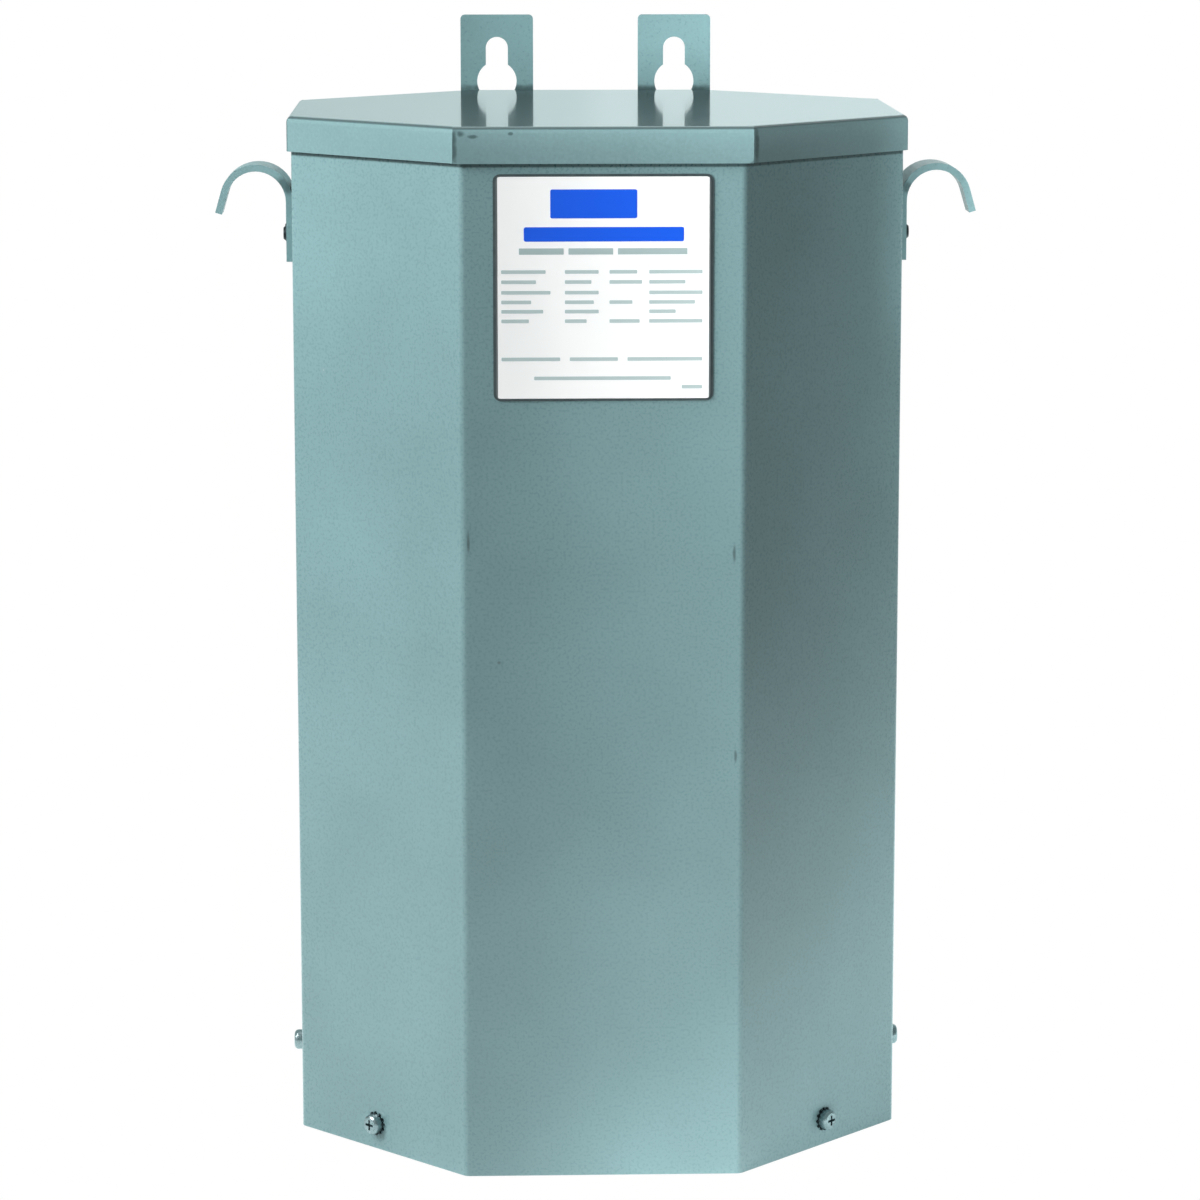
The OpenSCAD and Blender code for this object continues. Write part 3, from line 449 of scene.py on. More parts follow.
def cell_foam():
    """Closed-cell polyethylene foam: pale grey and matt, with cells about 1.2 mm wide."""
    cell_width = 1.2 * MM
    cell_height = 0.3 * MM
    material, tree, place = new_finish("closed_cell_foam")
    cells = add(tree, "TexVoronoi", None, Vector=place, Scale=1 / cell_width)
    dome = add(tree, "MapRange", None, cells.outputs["Distance"], 0, 0.7, 0, 1)
    # Painted shade: each cell is dark in its hollow middle and pale at its rim
    tint = add(tree, "Mix", COLOURS, dome, linear("7F827D"), linear("A9ABA5"))
    rough = add(tree, "MapRange", None, dome, 0, 1, 0.9, 0.75)
    relief = add(tree, "Bump", None, Height=dome, Distance=cell_height, Strength=0.6)
    shader = add(tree, "BsdfPrincipled", None, Base_Color=tint, Roughness=rough, Normal=relief)
    add(tree, "OutputMaterial", None, Surface=shader)
    return material


def lead_jacket():
    """Silicone rubber over stranded wire: dark and soft, dusty, with a faint lay of the strands."""
    dust_width = 3 * MM
    strand_width = 1.2 * MM
    strand_height = 0.05 * MM
    material, tree, place = new_finish("silicone_lead_jacket")
    dust = add(tree, "TexNoise", None, Vector=place, Scale=1 / dust_width, Detail=4)
    turned = add(tree, "Mapping", None, Vector=place, Scale=(1, 1, 0.3))
    strands = add(tree, "TexNoise", None, Vector=turned, Scale=1 / strand_width, Detail=2)
    dusty = add(tree, "MapRange", None, dust, 0.4, 0.75, 0, 0.5)
    tint = add(tree, "Mix", COLOURS, dusty, linear("232628"), linear("4A4D4E"))
    rough = add(tree, "MapRange", None, dust, 0.3, 0.7, 0.5, 0.68)
    relief = add(tree, "Bump", None, Height=strands, Distance=strand_height, Strength=0.5)
    shader = add(tree, "BsdfPrincipled", None, Base_Color=tint, Roughness=rough, Normal=relief)
    shader.inputs["Sheen Weight"].default_value = 0.15
    add(tree, "OutputMaterial", None, Surface=shader)
    return material


def coated_face(name, light, shade, rough, speck, haze_width, depth, border=None, lift=0):
    """A smooth coated face, such as white enamel, ink or vinyl: even, with a haze and fine pores.

    A border is the distance from the middle past which the face is printed over, and its colour.
    Lift is how much a white face glows, painted light that brightens it as the photograph's exposure does.
    """
    border_blur = 0.15 * MM
    material, tree, place = new_finish(name)
    haze = add(tree, "TexNoise", None, Vector=place, Scale=1 / haze_width, Detail=4)
    pores = add(tree, "TexNoise", None, Vector=place, Scale=1 / speck, Detail=3)
    hazy = add(tree, "MapRange", None, haze, 0.4, 0.75, 0, 0.5)
    tint = add(tree, "Mix", COLOURS, hazy, light, shade)
    if border:
        sideways = add(tree, "SeparateXYZ", None, Vector=place).outputs["X"]
        sideways = add(tree, "Math", {"operation": "ABSOLUTE"}, sideways)
        printed = add(tree, "MapRange", None, sideways, border[0], border[0] + border_blur, 0, 1)
        tint = add(tree, "Mix", COLOURS, printed, tint, border[1])
    shine = add(tree, "MapRange", None, pores, 0.3, 0.7, rough - 0.04, rough + 0.06)
    relief = add(tree, "Bump", None, Height=pores, Distance=depth, Strength=0.3)
    shader = add(tree, "BsdfPrincipled", None, Base_Color=tint, Roughness=shine, Normal=relief)
    # Painted light: the face glows in its light colour by the lift
    shader.inputs["Emission Color"].default_value = light
    shader.inputs["Emission Strength"].default_value = lift
    add(tree, "OutputMaterial", None, Surface=shader)
    return material


def studio_paper(studio):
    """Matt paper, darker on the left, that glows where the photograph's studio was brighter.

    Mirror images show it bright near the case and to its right, dim further out, and pale
    again where it curves up behind. Matt surfaces get light from a patch of it in front of the
    case. It is open under the case.
    """
    patch_centre = (0.065, -0.14, 0)
    patch_reach = (0.2, 0.14, 1)
    open_radius = 125 * MM
    open_blur = 3 * MM
    material, tree, place = new_finish("pale_studio_paper")
    ray = add(tree, "LightPath")
    parts = add(tree, "SeparateXYZ", None, Vector=place)
    across = parts.outputs["X"]
    glossy = ray.outputs["Is Glossy Ray"]
    away = add(tree, "VectorMath", {"operation": "LENGTH"}, place).outputs["Value"]
    # What mirror images show: the table round the case, and the backdrop
    table = add(tree, "MapRange", SMOOTH, away, 0.3, 1.3, 0.9, 0.1)
    right = add(tree, "MapRange", None, across, 0.1, 0.35, 1, 2.2)
    table = add(tree, "Math", {"operation": "MULTIPLY"}, table, right)
    behind = add(tree, "MapRange", None, parts.outputs["Y"], 1.2, 2, 0, 1)
    graded = add(tree, "MapRange", None, across, -0.3, 0.5, 0.56, 0.68)
    backdrop = add(tree, "Math", {"operation": "MULTIPLY"}, behind, graded)
    image = add(tree, "Math", {"operation": "MAXIMUM"}, table, backdrop)
    image = add(tree, "Math", {"operation": "MULTIPLY"}, image, glossy)
    # What matt surfaces get: the light of the patch in front of the case
    near = spread(tree, place, patch_centre, patch_reach)
    thrown = add(tree, "MapRange", SMOOTH, near, 0, 1, studio.table, 0)
    thrown = add(tree, "Math", {"operation": "MULTIPLY"}, thrown, ray.outputs["Is Diffuse Ray"])
    lift = add(tree, "Math", {"operation": "MAXIMUM"}, image, thrown)
    tint = add(tree, "Mix", COLOURS, glossy, linear("FFFFFF"), rgba(studio.cast))
    glow = add(tree, "Emission", None, Color=tint, Strength=lift)
    # The paper itself, open under the case
    grey = add(tree, "MapRange", None, across, -0.5, 0.1, 0.36, 0.66)
    paper = add(tree, "BsdfDiffuse", None, Color=grey)
    sheet = add(tree, "AddShader", None, paper, glow)
    opening = add(tree, "MapRange", None, away, open_radius, open_radius + open_blur, 1, 0)
    sheet = add(tree, "MixShader", None, opening, sheet, add(tree, "BsdfTransparent"))
    add(tree, "OutputMaterial", None, Surface=sheet)
    return material


def tidy_selection():
    """Leaves edit mode and deselects all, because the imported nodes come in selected."""
    if bpy.context.mode != "OBJECT":
        bpy.ops.object.mode_set(mode="OBJECT")
    bpy.ops.object.select_all(action="DESELECT")


def settle(piece, name, finish, body):
    """Names a finished piece, puts its place into its mesh, and gives it its finish and body."""
    tidy_selection()
    piece.select_set(True)
    bpy.context.view_layer.objects.active = piece
    bpy.ops.object.transform_apply(location=True, rotation=True, scale=True)
    piece.name = name
    piece.data.name = name
    piece.data.materials.clear()
    piece.data.materials.append(finish)
    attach(piece, body)
    tidy_selection()


def joined(pieces):
    """Joins finished parts of one piece and returns the object that holds them all."""
    tidy_selection()
    for piece in pieces:
        piece.select_set(True)
    bpy.context.view_layer.objects.active = pieces[0]
    bpy.ops.object.join()
    return bpy.context.view_layer.objects.active


def printed_bar(left, right, low, high, corner, ink, plate):
    """One flat block of ink on the plate: a plane with round corners, drawn out to its height.

    Left and right count from the plate's middle, and low and high from its lower edge. Plate
    is the low corner of the plate's box.
    """
    place = ((left + right) / 2, plate.y, plate.z + (low + high) / 2)
    tidy_selection()
    bpy.ops.mesh.primitive_plane_add(size=1, location=place, rotation=(math.pi / 2, 0, 0))
    bar = bpy.context.active_object
    bar.scale = (right - left, high - low, 1)
    bpy.ops.object.transform_apply(location=False, rotation=True, scale=True)
    bpy.ops.object.mode_set(mode="EDIT")
    bpy.ops.mesh.select_all(action="SELECT")
    bpy.ops.mesh.bevel(offset=corner, segments=3, affect="VERTICES")
    bpy.ops.mesh.select_all(action="SELECT")
    bpy.ops.mesh.extrude_region_move(TRANSFORM_OT_translate={"value": (0, -ink, 0)})
    bpy.ops.mesh.select_all(action="SELECT")
    bpy.ops.mesh.normals_make_consistent(inside=False)
    bpy.ops.object.mode_set(mode="OBJECT")
    return bar


class TRANSFORMER_OT_case(bpy.types.Operator):
    """Gives the two shells, the straps and the hooks their sprayed enamel, with painted shade under the lid
    and at the straps and hooks
    """

    bl_idname = "transformer.case"
    bl_label = "Case, straps and hooks"

    def execute(self, context):
        paint = context.scene.transformer_paint
        front_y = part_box("front_shell")[0].y
        lid_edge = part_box("lid")[0].z
        lid_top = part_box("lid")[1].z
        # Worn paint on the front bends, a scuff on the front, and a spot of painted shade under the lid's
        # slit
        worn_and_shaded = (
            (-56.6 * MM, front_y, 276 * MM, 1.2 * MM, 9 * MM),
            (55 * MM, front_y, 271 * MM, 1.3 * MM, 8 * MM),
            (56 * MM, front_y, 184 * MM, 1.3 * MM, 5 * MM),
            (-44 * MM, front_y, 225 * MM, 1.6 * MM, 1.6 * MM),
            (-57.4 * MM, front_y, lid_edge - 0.6 * MM, 2.6 * MM, 2.6 * MM),
        )
        # Painted shadow: a dark line on the shells just below the lid's edge, up to the lid's top
        line_height = 1.4 * paint.painted_shade_line
        painted_lid_shadow = ((lid_edge - line_height, lid_top),)
        shells = sprayed_enamel(
            "satin_case_enamel", paint.case_colour, paint, roughness=0.28, coat=0.25, marks=worn_and_shaded,
            lines=painted_lid_shadow
        )
        dress(shells, "front_shell", "rear_shell")
        strap_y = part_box("left_mounting_strap")[1].y
        left_low, left_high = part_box("left_lifting_hook")
        right_low, right_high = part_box("right_lifting_hook")
        # Shade at the foot of both straps and on the inner bend of each hook
        shaded = (
            (0, strap_y, lid_top, 200 * MM, 4.5 * MM),
            (left_high.x - 3 * MM, left_low.y, left_high.z - 8.5 * MM, 11 * MM, 8.5 * MM),
            (right_low.x + 3 * MM, right_low.y, right_high.z - 10 * MM, 4.5 * MM, 5.5 * MM),
        )
        # Painted shade in reflections: the straps and hooks are drawn darker where the lid mirrors them
        brackets = sprayed_enamel(
            "satin_bracket_enamel", paint.case_colour, paint, roughness=0.3, coat=0.25, marks=shaded,
            mirrored=0.15
        )
        dress(brackets, "left_mounting_strap", "right_mounting_strap")
        dress(brackets, "left_lifting_hook", "right_lifting_hook")
        return {"FINISHED"}


class TRANSFORMER_OT_lid(bpy.types.Operator):
    """Gives the folded lid its glossier enamel, with small scratches near the front edge, and painted shade
    in its front corner slits and along its top fold
    """

    bl_idname = "transformer.lid"
    bl_label = "Lid"

    def execute(self, context):
        paint = context.scene.transformer_paint
        low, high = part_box("lid")
        middle = (low.z + high.z) / 2
        # Painted shade in the slits at both front corners, then three scratches near the front edge
        marks = (
            (-61.7 * MM, low.y, middle, 2.6 * MM, 16 * MM),
            (64 * MM, low.y + 3.6 * MM, middle, 2.8 * MM, 16 * MM),
            (-58.9 * MM, low.y, high.z - 2.8 * MM, 3.2 * MM, 2.6 * MM),
            (-53.8 * MM, low.y, high.z - 4 * MM, 3.8 * MM, 1.5 * MM),
            (-38.3 * MM, low.y, high.z - 2.8 * MM, 2.2 * MM, 1.3 * MM),
        )
        # Painted shade: a thin dark line just below the top, along the fold
        fold = ((high.z - paint.painted_shade_line, high.z - 0.05 * MM),)
        finish = sprayed_enamel(
            "glossy_lid_enamel", paint.lid_colour, paint, roughness=0.16, coat=0.8, marks=marks, lines=fold
        )
        dress(finish, "lid")
        return {"FINISHED"}


class TRANSFORMER_OT_bottom(bpy.types.Operator):
    """Gives the bottom cover and its knockout slugs the case's enamel"""

    bl_idname = "transformer.bottom"
    bl_label = "Bottom cover"

    def execute(self, context):
        paint = context.scene.transformer_paint
        finish = sprayed_enamel(
            "satin_cover_enamel", paint.case_colour, paint, roughness=0.34, coat=0.15
        )
        dress(finish, "bottom_cover", "knockout_slugs")
        return {"FINISHED"}


class TRANSFORMER_OT_fasteners(bpy.types.Operator):
    """Gives screws, nuts, washers and rivets their plating"""

    bl_idname = "transformer.fasteners"
    bl_label = "Fasteners"

    def execute(self, context):
        dress(bright_zinc(), "cover_screws", "cover_nuts", "earth_screws", "core_bolts", "core_nuts")
        dress(dark_zinc(), "screw_washers", "hook_rivets")
        return {"FINISHED"}


class TRANSFORMER_OT_core(bpy.types.Operator):
    """Gives the core's laminations and clamps their steel"""

    bl_idname = "transformer.core"
    bl_label = "Core"

    def execute(self, context):
        dress(stacked_laminations(), "e_laminations", "i_laminations")
        dress(mill_scale(), "core_clamps")
        return {"FINISHED"}


class TRANSFORMER_OT_coil(bpy.types.Operator):
    """Gives former, windings, shield, wrapping and leads their finishes"""

    bl_idname = "transformer.coil"
    bl_label = "Coil"

    def execute(self, context):
        primary = wound_wire("wound_primary_wire", "C47A3C", "6B3415", pitch=2.2 * MM)
        dress(primary, "primary_winding")
        secondary = wound_wire("wound_secondary_wire", "B96A34", "5E2C12", pitch=2.8 * MM)
        dress(secondary, "secondary_winding")
        dress(rolled_copper(), "shield_foil")
        dress(varnished_paper(), "coil_former", "outer_insulation")
        dress(lead_jacket(), "primary_leads", "secondary_leads")
        return {"FINISHED"}


class TRANSFORMER_OT_casting(bpy.types.Operator):
    """Gives the cast compound, the barrier board and the top pad their finishes"""

    bl_idname = "transformer.casting"
    bl_label = "Casting, board and pad"

    def execute(self, context):
        dress(sand_resin(), "potting_compound")
        dress(glass_polyester(), "barrier_board")
        dress(cell_foam(), "top_pad")
        return {"FINISHED"}


class TRANSFORMER_OT_terminals(bpy.types.Operator):
    """Gives terminal boards, studs, nuts, washers and earth lug their finishes"""

    bl_idname = "transformer.terminals"
    bl_label = "Terminals"

    def execute(self, context):
        dress(phenolic_board(), "primary_terminal_board", "secondary_terminal_board")
        dress(turned_brass(), "terminal_studs", "stud_nuts", "stud_washers")
        dress(tin_plate(), "earth_lug")
        return {"FINISHED"}


class TRANSFORMER_OT_plate(bpy.types.Operator):
    """Gives the nameplate its white face and film, and prints a generic heading, rule and rows on it"""

    bl_idname = "transformer.plate"
    bl_label = "Nameplate and print"

    def execute(self, context):
        looks = context.scene.transformer_plate
        white = rgba(looks.face_colour)
        dark = rgba(looks.film_colour)
        border = (looks.white_half, dark)
        # The white face glows a little, painted light that brightens it
        enamel = coated_face(
            "white_enamelled_plate", white, linear("F3F7F7"), rough=0.34, speck=0.6 * MM,
            haze_width=24 * MM, depth=0.01 * MM, border=border, lift=0.07
        )
        dress(enamel, "nameplate")
        film = coated_face(
            "dark_vinyl_film", dark, linear("566265"), rough=0.48, speck=0.8 * MM, haze_width=4 * MM,
            depth=0.01 * MM
        )
        dress(film, "nameplate_backing")
        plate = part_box("nameplate")[0]
        heading = [(-33, 33.4, 65.5, 71.5), (-22, 14, 75.1, 87.1)]
        rule = [(left, right, 60.1, 62.7) for left, right in ((-35, -16.5), (-14.5, 4), (6, 34.8))]
        # Each piece of print: its colour, its corner radius and its blocks
        print_pieces = {
            "plate_heading": (looks.heading_colour, 0.8 * MM, heading),
            "plate_rule": (looks.rule_colour, 0.2 * MM, rule),
            "plate_rows": (looks.row_colour, 0.3 * MM, plate_rows()),
        }
        for name, (ink_colour, corner, blocks) in print_pieces.items():
            bars = [
                printed_bar(left * MM, right * MM, low * MM, high * MM, corner, looks.ink, plate)
                for left, right, low, high in blocks
            ]
            inked = rgba(ink_colour)
            finish = coated_face(
                name + "_ink", inked, inked, rough=0.4, speck=0.7 * MM, haze_width=9 * MM, depth=0.004 * MM
            )
            settle(joined(bars), name, finish, "case")
        return {"FINISHED"}


def plate_rows():
    """The rows of plain bars under the heading, as left, right, low and high in millimetres."""
    tall = 1.5
    rows = []
    for height, spans in (
        (52.9, ((-42.4, -24), (-16, -2), (2.5, 14), (19, 41.1))),
        (48.7, ((-42.4, -28), (-16, -5), (2.5, 16), (19, 34))),
        (44.3, ((-42.4, -22), (-16, -2), (19, 41.1))),
        (40.3, ((-42.4, -30), (-16, -4), (2.5, 12), (19, 38))),
        (36.4, ((-42.4, -25), (-16, -2), (19, 30))),
        (32.4, ((-42.4, -31), (-16, -7), (2.5, 15), (19, 41.1))),
        (16.5, ((-42.4, -18), (-14, 6), (10, 41.1))),
        (8.5, ((-28.8, 28),)),
        (4.8, ((32.6, 41.1),)),
    ):
        rows += [(left, right, height - tall / 2, height + tall / 2) for left, right in spans]
    return rows


class TRANSFORMER_OT_welds(bpy.types.Operator):
    """Lays weld beads along the inner edge of each strap, where it lies on the rear wall"""

    bl_idname = "transformer.welds"
    bl_label = "Weld beads"

    def execute(self, context):
        weld = context.scene.transformer_weld
        paint = context.scene.transformer_paint
        wall_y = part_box("rear_shell")[1].y
        edge_x = -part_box("left_mounting_strap")[1].x
        lowest, pitch, count = 84 * MM, 76 * MM, 5
        bead = self.make_bead(weld)
        finish = sprayed_enamel("painted_weld_bead", paint.case_colour, paint, roughness=0.3, coat=0.2)
        sides = {"left_strap_welds": -1, "right_strap_welds": 1}
        beads = {name: [] for name in sides}
        for name, side in sides.items():
            for i in range(count):
                copy = bead.copy()
                copy.data = bead.data.copy()
                context.collection.objects.link(copy)
                tidy_selection()
                copy.select_set(True)
                context.view_layer.objects.active = copy
                if side > 0:
                    bpy.ops.transform.mirror(constraint_axis=(True, False, False))
                    bpy.ops.object.transform_apply(location=False, rotation=False, scale=True)
                bpy.ops.transform.translate(value=(side * edge_x, wall_y, lowest + pitch * i))
                beads[name].append(copy)
        bpy.data.objects.remove(bead)
        for name, copies in beads.items():
            piece = joined(copies)
            bpy.ops.object.mode_set(mode="EDIT")
            bpy.ops.mesh.select_all(action="SELECT")
            bpy.ops.mesh.normals_make_consistent(inside=False)
            settle(piece, name, finish, "case")
        return {"FINISHED"}

    def make_bead(self, weld):
        """One bead: a rippled rod with blunt ends, cut to the quarter that fills the corner."""
        ripples = 7
        sides = 20
        waist_share = 0.86
        end_share = 0.4
        bluntness = 6
        sunk = 0.2 * MM
        edge_radius = 0.12 * MM
        smooth_angle = math.radians(50)
        step = weld.bead / (2 * ripples)
        rings = [weld.bead * (i / (2 * ripples) - 0.5) for i in range(2 * ripples + 1)]
        tidy_selection()
        bpy.ops.mesh.primitive_cylinder_add(vertices=sides, radius=weld.leg, depth=weld.bead)
        bead = bpy.context.active_object
        bpy.ops.object.mode_set(mode="EDIT")
        for height in rings[1:-1]:
            bpy.ops.mesh.select_all(action="SELECT")
            bpy.ops.mesh.bisect(plane_co=(0, 0, height), plane_no=(0, 0, 1))
        for i, height in enumerate(rings):
            bpy.ops.object.mode_set(mode="OBJECT")
            for vertex in bead.data.vertices:
                vertex.select = abs(vertex.co.z - height) < step / 4
            bpy.ops.object.mode_set(mode="EDIT")
            bpy.ops.mesh.select_mode(type="VERT")
            fullness = math.sqrt(max(0.0, 1 - (2 * height / weld.bead) ** bluntness))
            taper = fullness * (1 - end_share) + end_share
            waist = taper * (waist_share if i % 2 == 0 else 1.0)
            bpy.ops.transform.resize(value=(waist, waist, 1), center_override=(0, 0, height))
        for cut, outward in (((0, -sunk, 0), (0, -1, 0)), ((-sunk, 0, 0), (-1, 0, 0))):
            bpy.ops.mesh.select_all(action="SELECT")
            bpy.ops.mesh.bisect(plane_co=cut, plane_no=outward, clear_outer=True, use_fill=True)
        bpy.ops.mesh.select_all(action="SELECT")
        bpy.ops.mesh.normals_make_consistent(inside=False)
        bpy.ops.object.mode_set(mode="OBJECT")
        rounding = bead.modifiers.new("rounding", "BEVEL")
        rounding.width = edge_radius
        rounding.segments = 2
        rounding.limit_method = "ANGLE"
        bpy.ops.object.modifier_apply(modifier="rounding")
        bpy.ops.object.shade_smooth_by_angle(angle=smooth_angle)
        return bead


class TRANSFORMER_OT_studio(bpy.types.Operator):
    """Sets the camera, the lamps, the even sky and the pale floor"""

    bl_idname = "transformer.studio"
    bl_label = "Studio"

    def execute(self, context):
        scene = context.scene
        studio = scene.transformer_studio
        scene.view_settings.view_transform = "Standard"
        self.make_camera(scene, studio)
        self.softbox(
            "key_softbox", studio.key, width=0.4, height=0.8, place=(-1.005, -0.447, 0.95), aim=(0, 0, 0.3)
        )
        self.softbox(
            "top_softbox", studio.top, width=1.2, height=1.2, place=(0, 0.2, 1.9), aim=(0, 0, 0.45)
        )
        back = self.softbox(
            "back_softbox", studio.back, width=1.2, height=1, place=(0.7, 1.8, 0.9), aim=(0, 0, 0.25)
        )
        back.visible_glossy = False
        under = self.softbox(
            "under_softbox", studio.under, width=1, height=1, place=(0.25, -0.7, -0.75), aim=(0, 0, 0)
        )
        under.visible_camera = False
        self.shaded_spot(
            "front_wash", studio.front_wash, place=(-1.463, -1.496, 0.35), aim=(0, -0.132, 0.25),
            across=(-0.016, 0.03, 0, 1), upward=(-0.06, 0.08, 0.75, 1.2)
        )
        self.shaded_spot(
            "side_wash", studio.side_wash, place=(2.065, 0.2515, 0.3), aim=(0.0955, -0.0955, 0.25),
            across=(-0.01, 0.02, 0, 1), upward=(-0.12, 0, 1.5, 1)
        )
        self.shaded_spot(
            "strap_wash", studio.strap_wash, place=(-0.4, -1.4, 0.456), aim=(0, 0.134, 0.456),
            across=(-0.04, 0.03, 0, 1), upward=(0, 0.001, 0, 1)
        )
        self.shaded_spot(
            "hook_wash", studio.hook_wash, place=(0.165, -1.5, 0.43), aim=(0.165, 0, 0.43),
            across=(-0.0215, -0.02, 0, 1), upward=(-0.06, -0.04, 0, 1)
        )
        self.make_sky(scene, studio)
        self.make_floor(studio)
        return {"FINISHED"}

    def make_camera(self, scene, studio):
        """The photograph's camera, placed by two angles and a distance from the point it looks at."""
        aim = Vector((2.7 * MM, 0, 263.8 * MM))
        film_width = 36
        # The frame lies this many of the photograph's pixels lower than the aim
        frame_drop = 80
        photo_height = 1200
        flat = math.cos(studio.elevation) * studio.distance
        rise = math.sin(studio.elevation) * studio.distance
        camera_data = bpy.data.cameras.new("portrait_lens")
        camera_data.lens = studio.lens
        camera_data.sensor_width = film_width
        camera_data.shift_y = -frame_drop / photo_height
        camera = bpy.data.objects.new("portrait_camera", camera_data)
        away = Vector((math.sin(studio.azimuth) * flat, -math.cos(studio.azimuth) * flat, rise))
        camera.location = aim + away
        look = (aim - camera.location).to_track_quat("-Z", "Y")
        camera.rotation_euler = (look @ Quaternion((0, 0, 1), studio.roll)).to_euler()
        scene.collection.objects.link(camera)
        scene.camera = camera

    def make_sky(self, scene, studio):
        """An even sky: white to the camera, dimmer and cold in a mirror image, and dimmer as light."""
        world = bpy.data.worlds.new("even_sky")
        world.use_nodes = True
        tree = world.node_tree
        tree.nodes.clear()
        ray = add(tree, "LightPath")
        glossy = ray.outputs["Is Glossy Ray"]
        passed = ray.outputs["Is Transmission Ray"]
        seen = add(tree, "Math", {"operation": "MAXIMUM"}, ray.outputs["Is Camera Ray"], passed)
        level = add(tree, "MapRange", None, glossy, 0, 1, studio.sky, studio.mirrored)
        level = add(tree, "Math", {"operation": "MAXIMUM"}, level, seen)
        tint = add(tree, "Mix", COLOURS, glossy, linear("FFFFFF"), rgba(studio.cast))
        background = add(tree, "Background", None, Color=tint, Strength=level)
        add(tree, "OutputWorld", None, Surface=background)
        scene.world = world

    def softbox(self, name, power, width, height, place, aim):
        """A flat lamp of that width and height in metres."""
        lamp_data = bpy.data.lights.new(name, "AREA")
        lamp_data.shape = "RECTANGLE"
        lamp_data.size = width
        lamp_data.size_y = height
        lamp_data.energy = power
        return self.hang(lamp_data, place, aim)

    def shaded_spot(self, name, power, place, aim, across, upward):
        """A spot behind two graded shades, one across its beam and one up it, that no mirror image shows.

        A shade is the two slopes of the beam between which it is graded, and its level at each.
        """
        lamp_data = bpy.data.lights.new(name, "SPOT")
        lamp_data.energy = power
        lamp_data.spot_size = math.radians(40)
        lamp_data.spot_blend = 0.3
        lamp_data.shadow_soft_size = 20 * MM
        lamp_data.use_nodes = True
        tree = lamp_data.node_tree
        tree.nodes.clear()
        beam = add(tree, "TexCoord").outputs["Normal"]
        parts = add(tree, "SeparateXYZ", None, Vector=beam)
        forward = add(tree, "Math", {"operation": "ABSOLUTE"}, parts.outputs["Z"])
        slope = add(tree, "Math", {"operation": "DIVIDE"}, parts.outputs["X"], forward)
        side_shade = add(tree, "MapRange", None, slope, *across)
        rise = add(tree, "Math", {"operation": "DIVIDE"}, parts.outputs["Y"], forward)
        height_shade = add(tree, "MapRange", None, rise, *upward)
        strength = add(tree, "Math", {"operation": "MULTIPLY"}, side_shade, height_shade)
        emission = add(tree, "Emission", None, Color=linear("FFFFFF"), Strength=strength)
        add(tree, "OutputLight", None, Surface=emission)
        self.hang(lamp_data, place, aim).visible_glossy = False

    def hang(self, lamp_data, place, aim):
        """Hangs a lamp at a place and turns it to the point it lights."""
        lamp = bpy.data.objects.new(lamp_data.name, lamp_data)
        lamp.location = place
        lamp.rotation_euler = (Vector(aim) - lamp.location).to_track_quat("-Z", "Y").to_euler()
        bpy.context.scene.collection.objects.link(lamp)
        return lamp

    def make_floor(self, studio):
        """A pale sheet that runs back from under the case and curves up behind it.

        The camera looks through it to the white sky, so that a lowered cover shows, and it is
        open under the case, so that the lamp below reaches the cover.
        """
        wide, deep, tall = 9, 6, 4
        bend_radius = 1.4
        slack = 0.1
        tidy_selection()
        bpy.ops.mesh.primitive_plane_add(size=1, location=(0, 0, 0))
        floor = bpy.context.active_object
        floor.scale = (wide, deep, 1)
        bpy.ops.object.transform_apply(scale=True)
        bpy.ops.object.mode_set(mode="EDIT")
        bpy.ops.mesh.select_mode(type="EDGE")
        bpy.ops.mesh.select_all(action="DESELECT")
        bpy.ops.object.mode_set(mode="OBJECT")
        for edge in floor.data.edges:
            ends = [floor.data.vertices[i].co.y for i in edge.vertices]
            edge.select = min(ends) > deep / 2 - slack
        bpy.ops.object.mode_set(mode="EDIT")
        bpy.ops.mesh.extrude_region_move(TRANSFORM_OT_translate={"value": (0, 0, tall)})
        bpy.ops.object.mode_set(mode="OBJECT")
        bend = floor.modifiers.new("bend", "BEVEL")
        bend.width = bend_radius
        bend.segments = 14
        bend.limit_method = "ANGLE"
        bpy.ops.object.modifier_apply(modifier="bend")
        bpy.ops.object.shade_smooth()
        floor.name = "studio_floor"
        floor.data.materials.append(studio_paper(studio))
        floor.visible_camera = False
        tidy_selection()


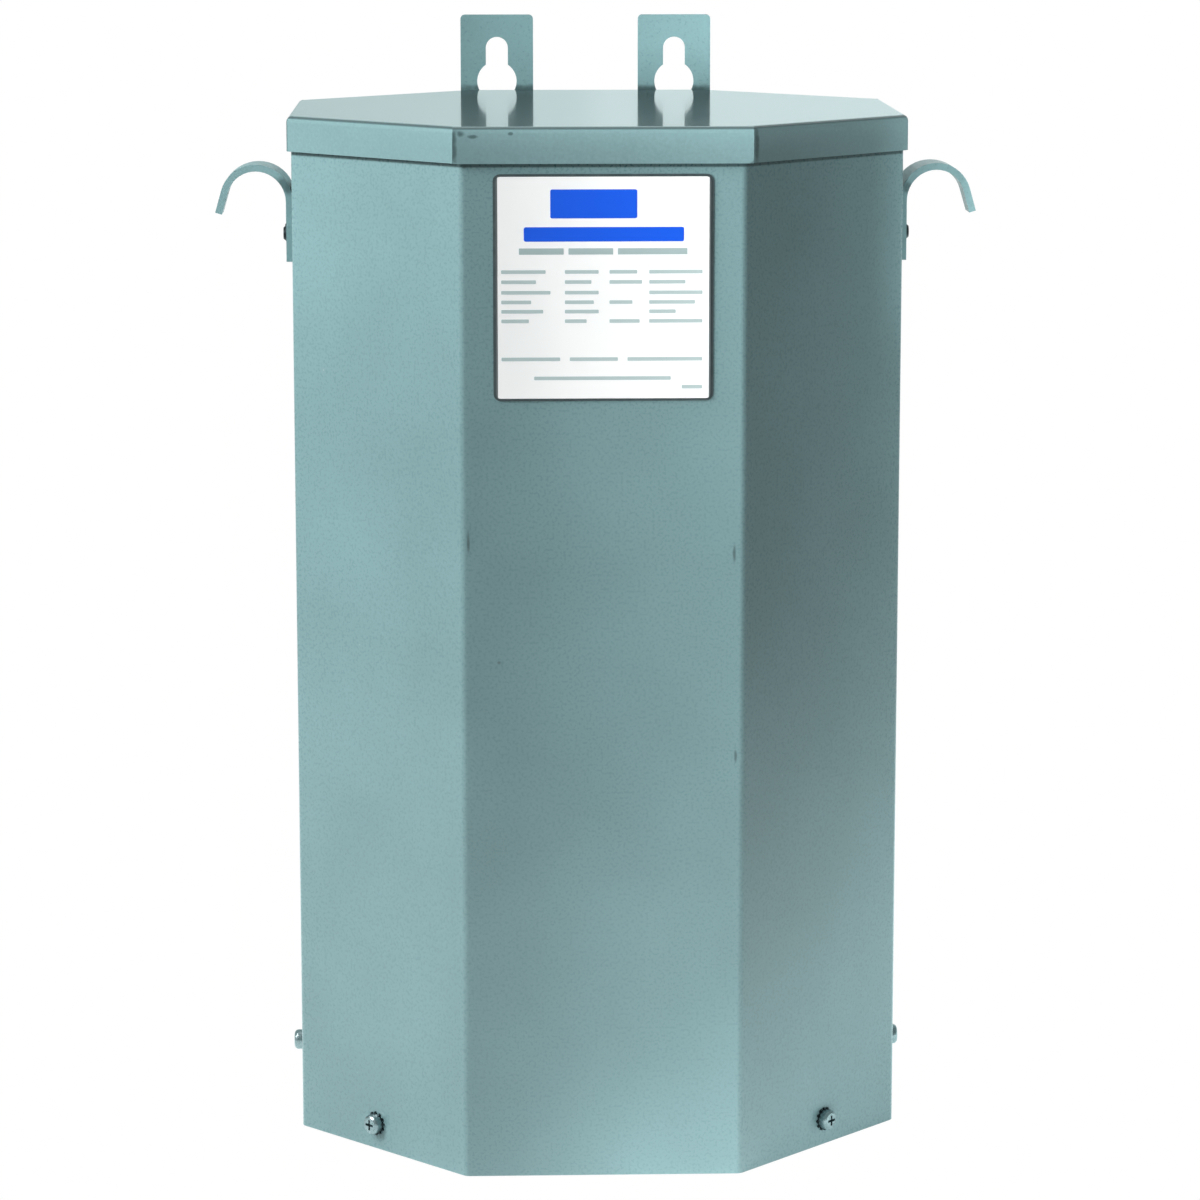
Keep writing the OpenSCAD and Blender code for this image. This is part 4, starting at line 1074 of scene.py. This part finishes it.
class TRANSFORMER_PT_panel(bpy.types.Panel):
    """Lists the pieces of the transformer and their sizes and colours"""

    bl_label = "Isolation transformer"
    bl_idname = "TRANSFORMER_PT_panel"
    bl_space_type = "VIEW_3D"
    bl_region_type = "UI"
    bl_category = "Transformer"

    def draw(self, context):
        for operator in PIECES:
            self.layout.operator(operator.bl_idname, text=operator.bl_label)
        for name, group in GROUPS.items():
            box = self.layout.box()
            for setting in group.__annotations__:
                box.prop(getattr(context.scene, name), setting)


PIECES = (
    TRANSFORMER_OT_studio,
    TRANSFORMER_OT_case,
    TRANSFORMER_OT_lid,
    TRANSFORMER_OT_bottom,
    TRANSFORMER_OT_fasteners,
    TRANSFORMER_OT_core,
    TRANSFORMER_OT_coil,
    TRANSFORMER_OT_casting,
    TRANSFORMER_OT_terminals,
    TRANSFORMER_OT_plate,
    TRANSFORMER_OT_welds,
)

GROUPS = {
    "transformer_paint": EnamelSettings,
    "transformer_plate": PlateSettings,
    "transformer_weld": WeldSettings,
    "transformer_studio": StudioSettings,
}


def register():
    """Registers the settings, the operators and the panel."""
    for name, group in GROUPS.items():
        bpy.utils.register_class(group)
        setattr(bpy.types.Scene, name, bpy.props.PointerProperty(type=group))
    for piece in PIECES + (TRANSFORMER_PT_panel,):
        bpy.utils.register_class(piece)


def unregister():
    """Takes the panel, the operators and the settings away again."""
    for piece in (TRANSFORMER_PT_panel,) + PIECES[::-1]:
        bpy.utils.unregister_class(piece)
    for name, group in GROUPS.items():
        delattr(bpy.types.Scene, name)
        bpy.utils.unregister_class(group)


def main():
    """Makes every piece in order."""
    register()
    bpy.ops.transformer.studio()
    bpy.ops.transformer.case()
    bpy.ops.transformer.lid()
    bpy.ops.transformer.bottom()
    bpy.ops.transformer.fasteners()
    bpy.ops.transformer.core()
    bpy.ops.transformer.coil()
    bpy.ops.transformer.casting()
    bpy.ops.transformer.terminals()
    bpy.ops.transformer.plate()
    bpy.ops.transformer.welds()


if __name__ == "__main__":
    main()
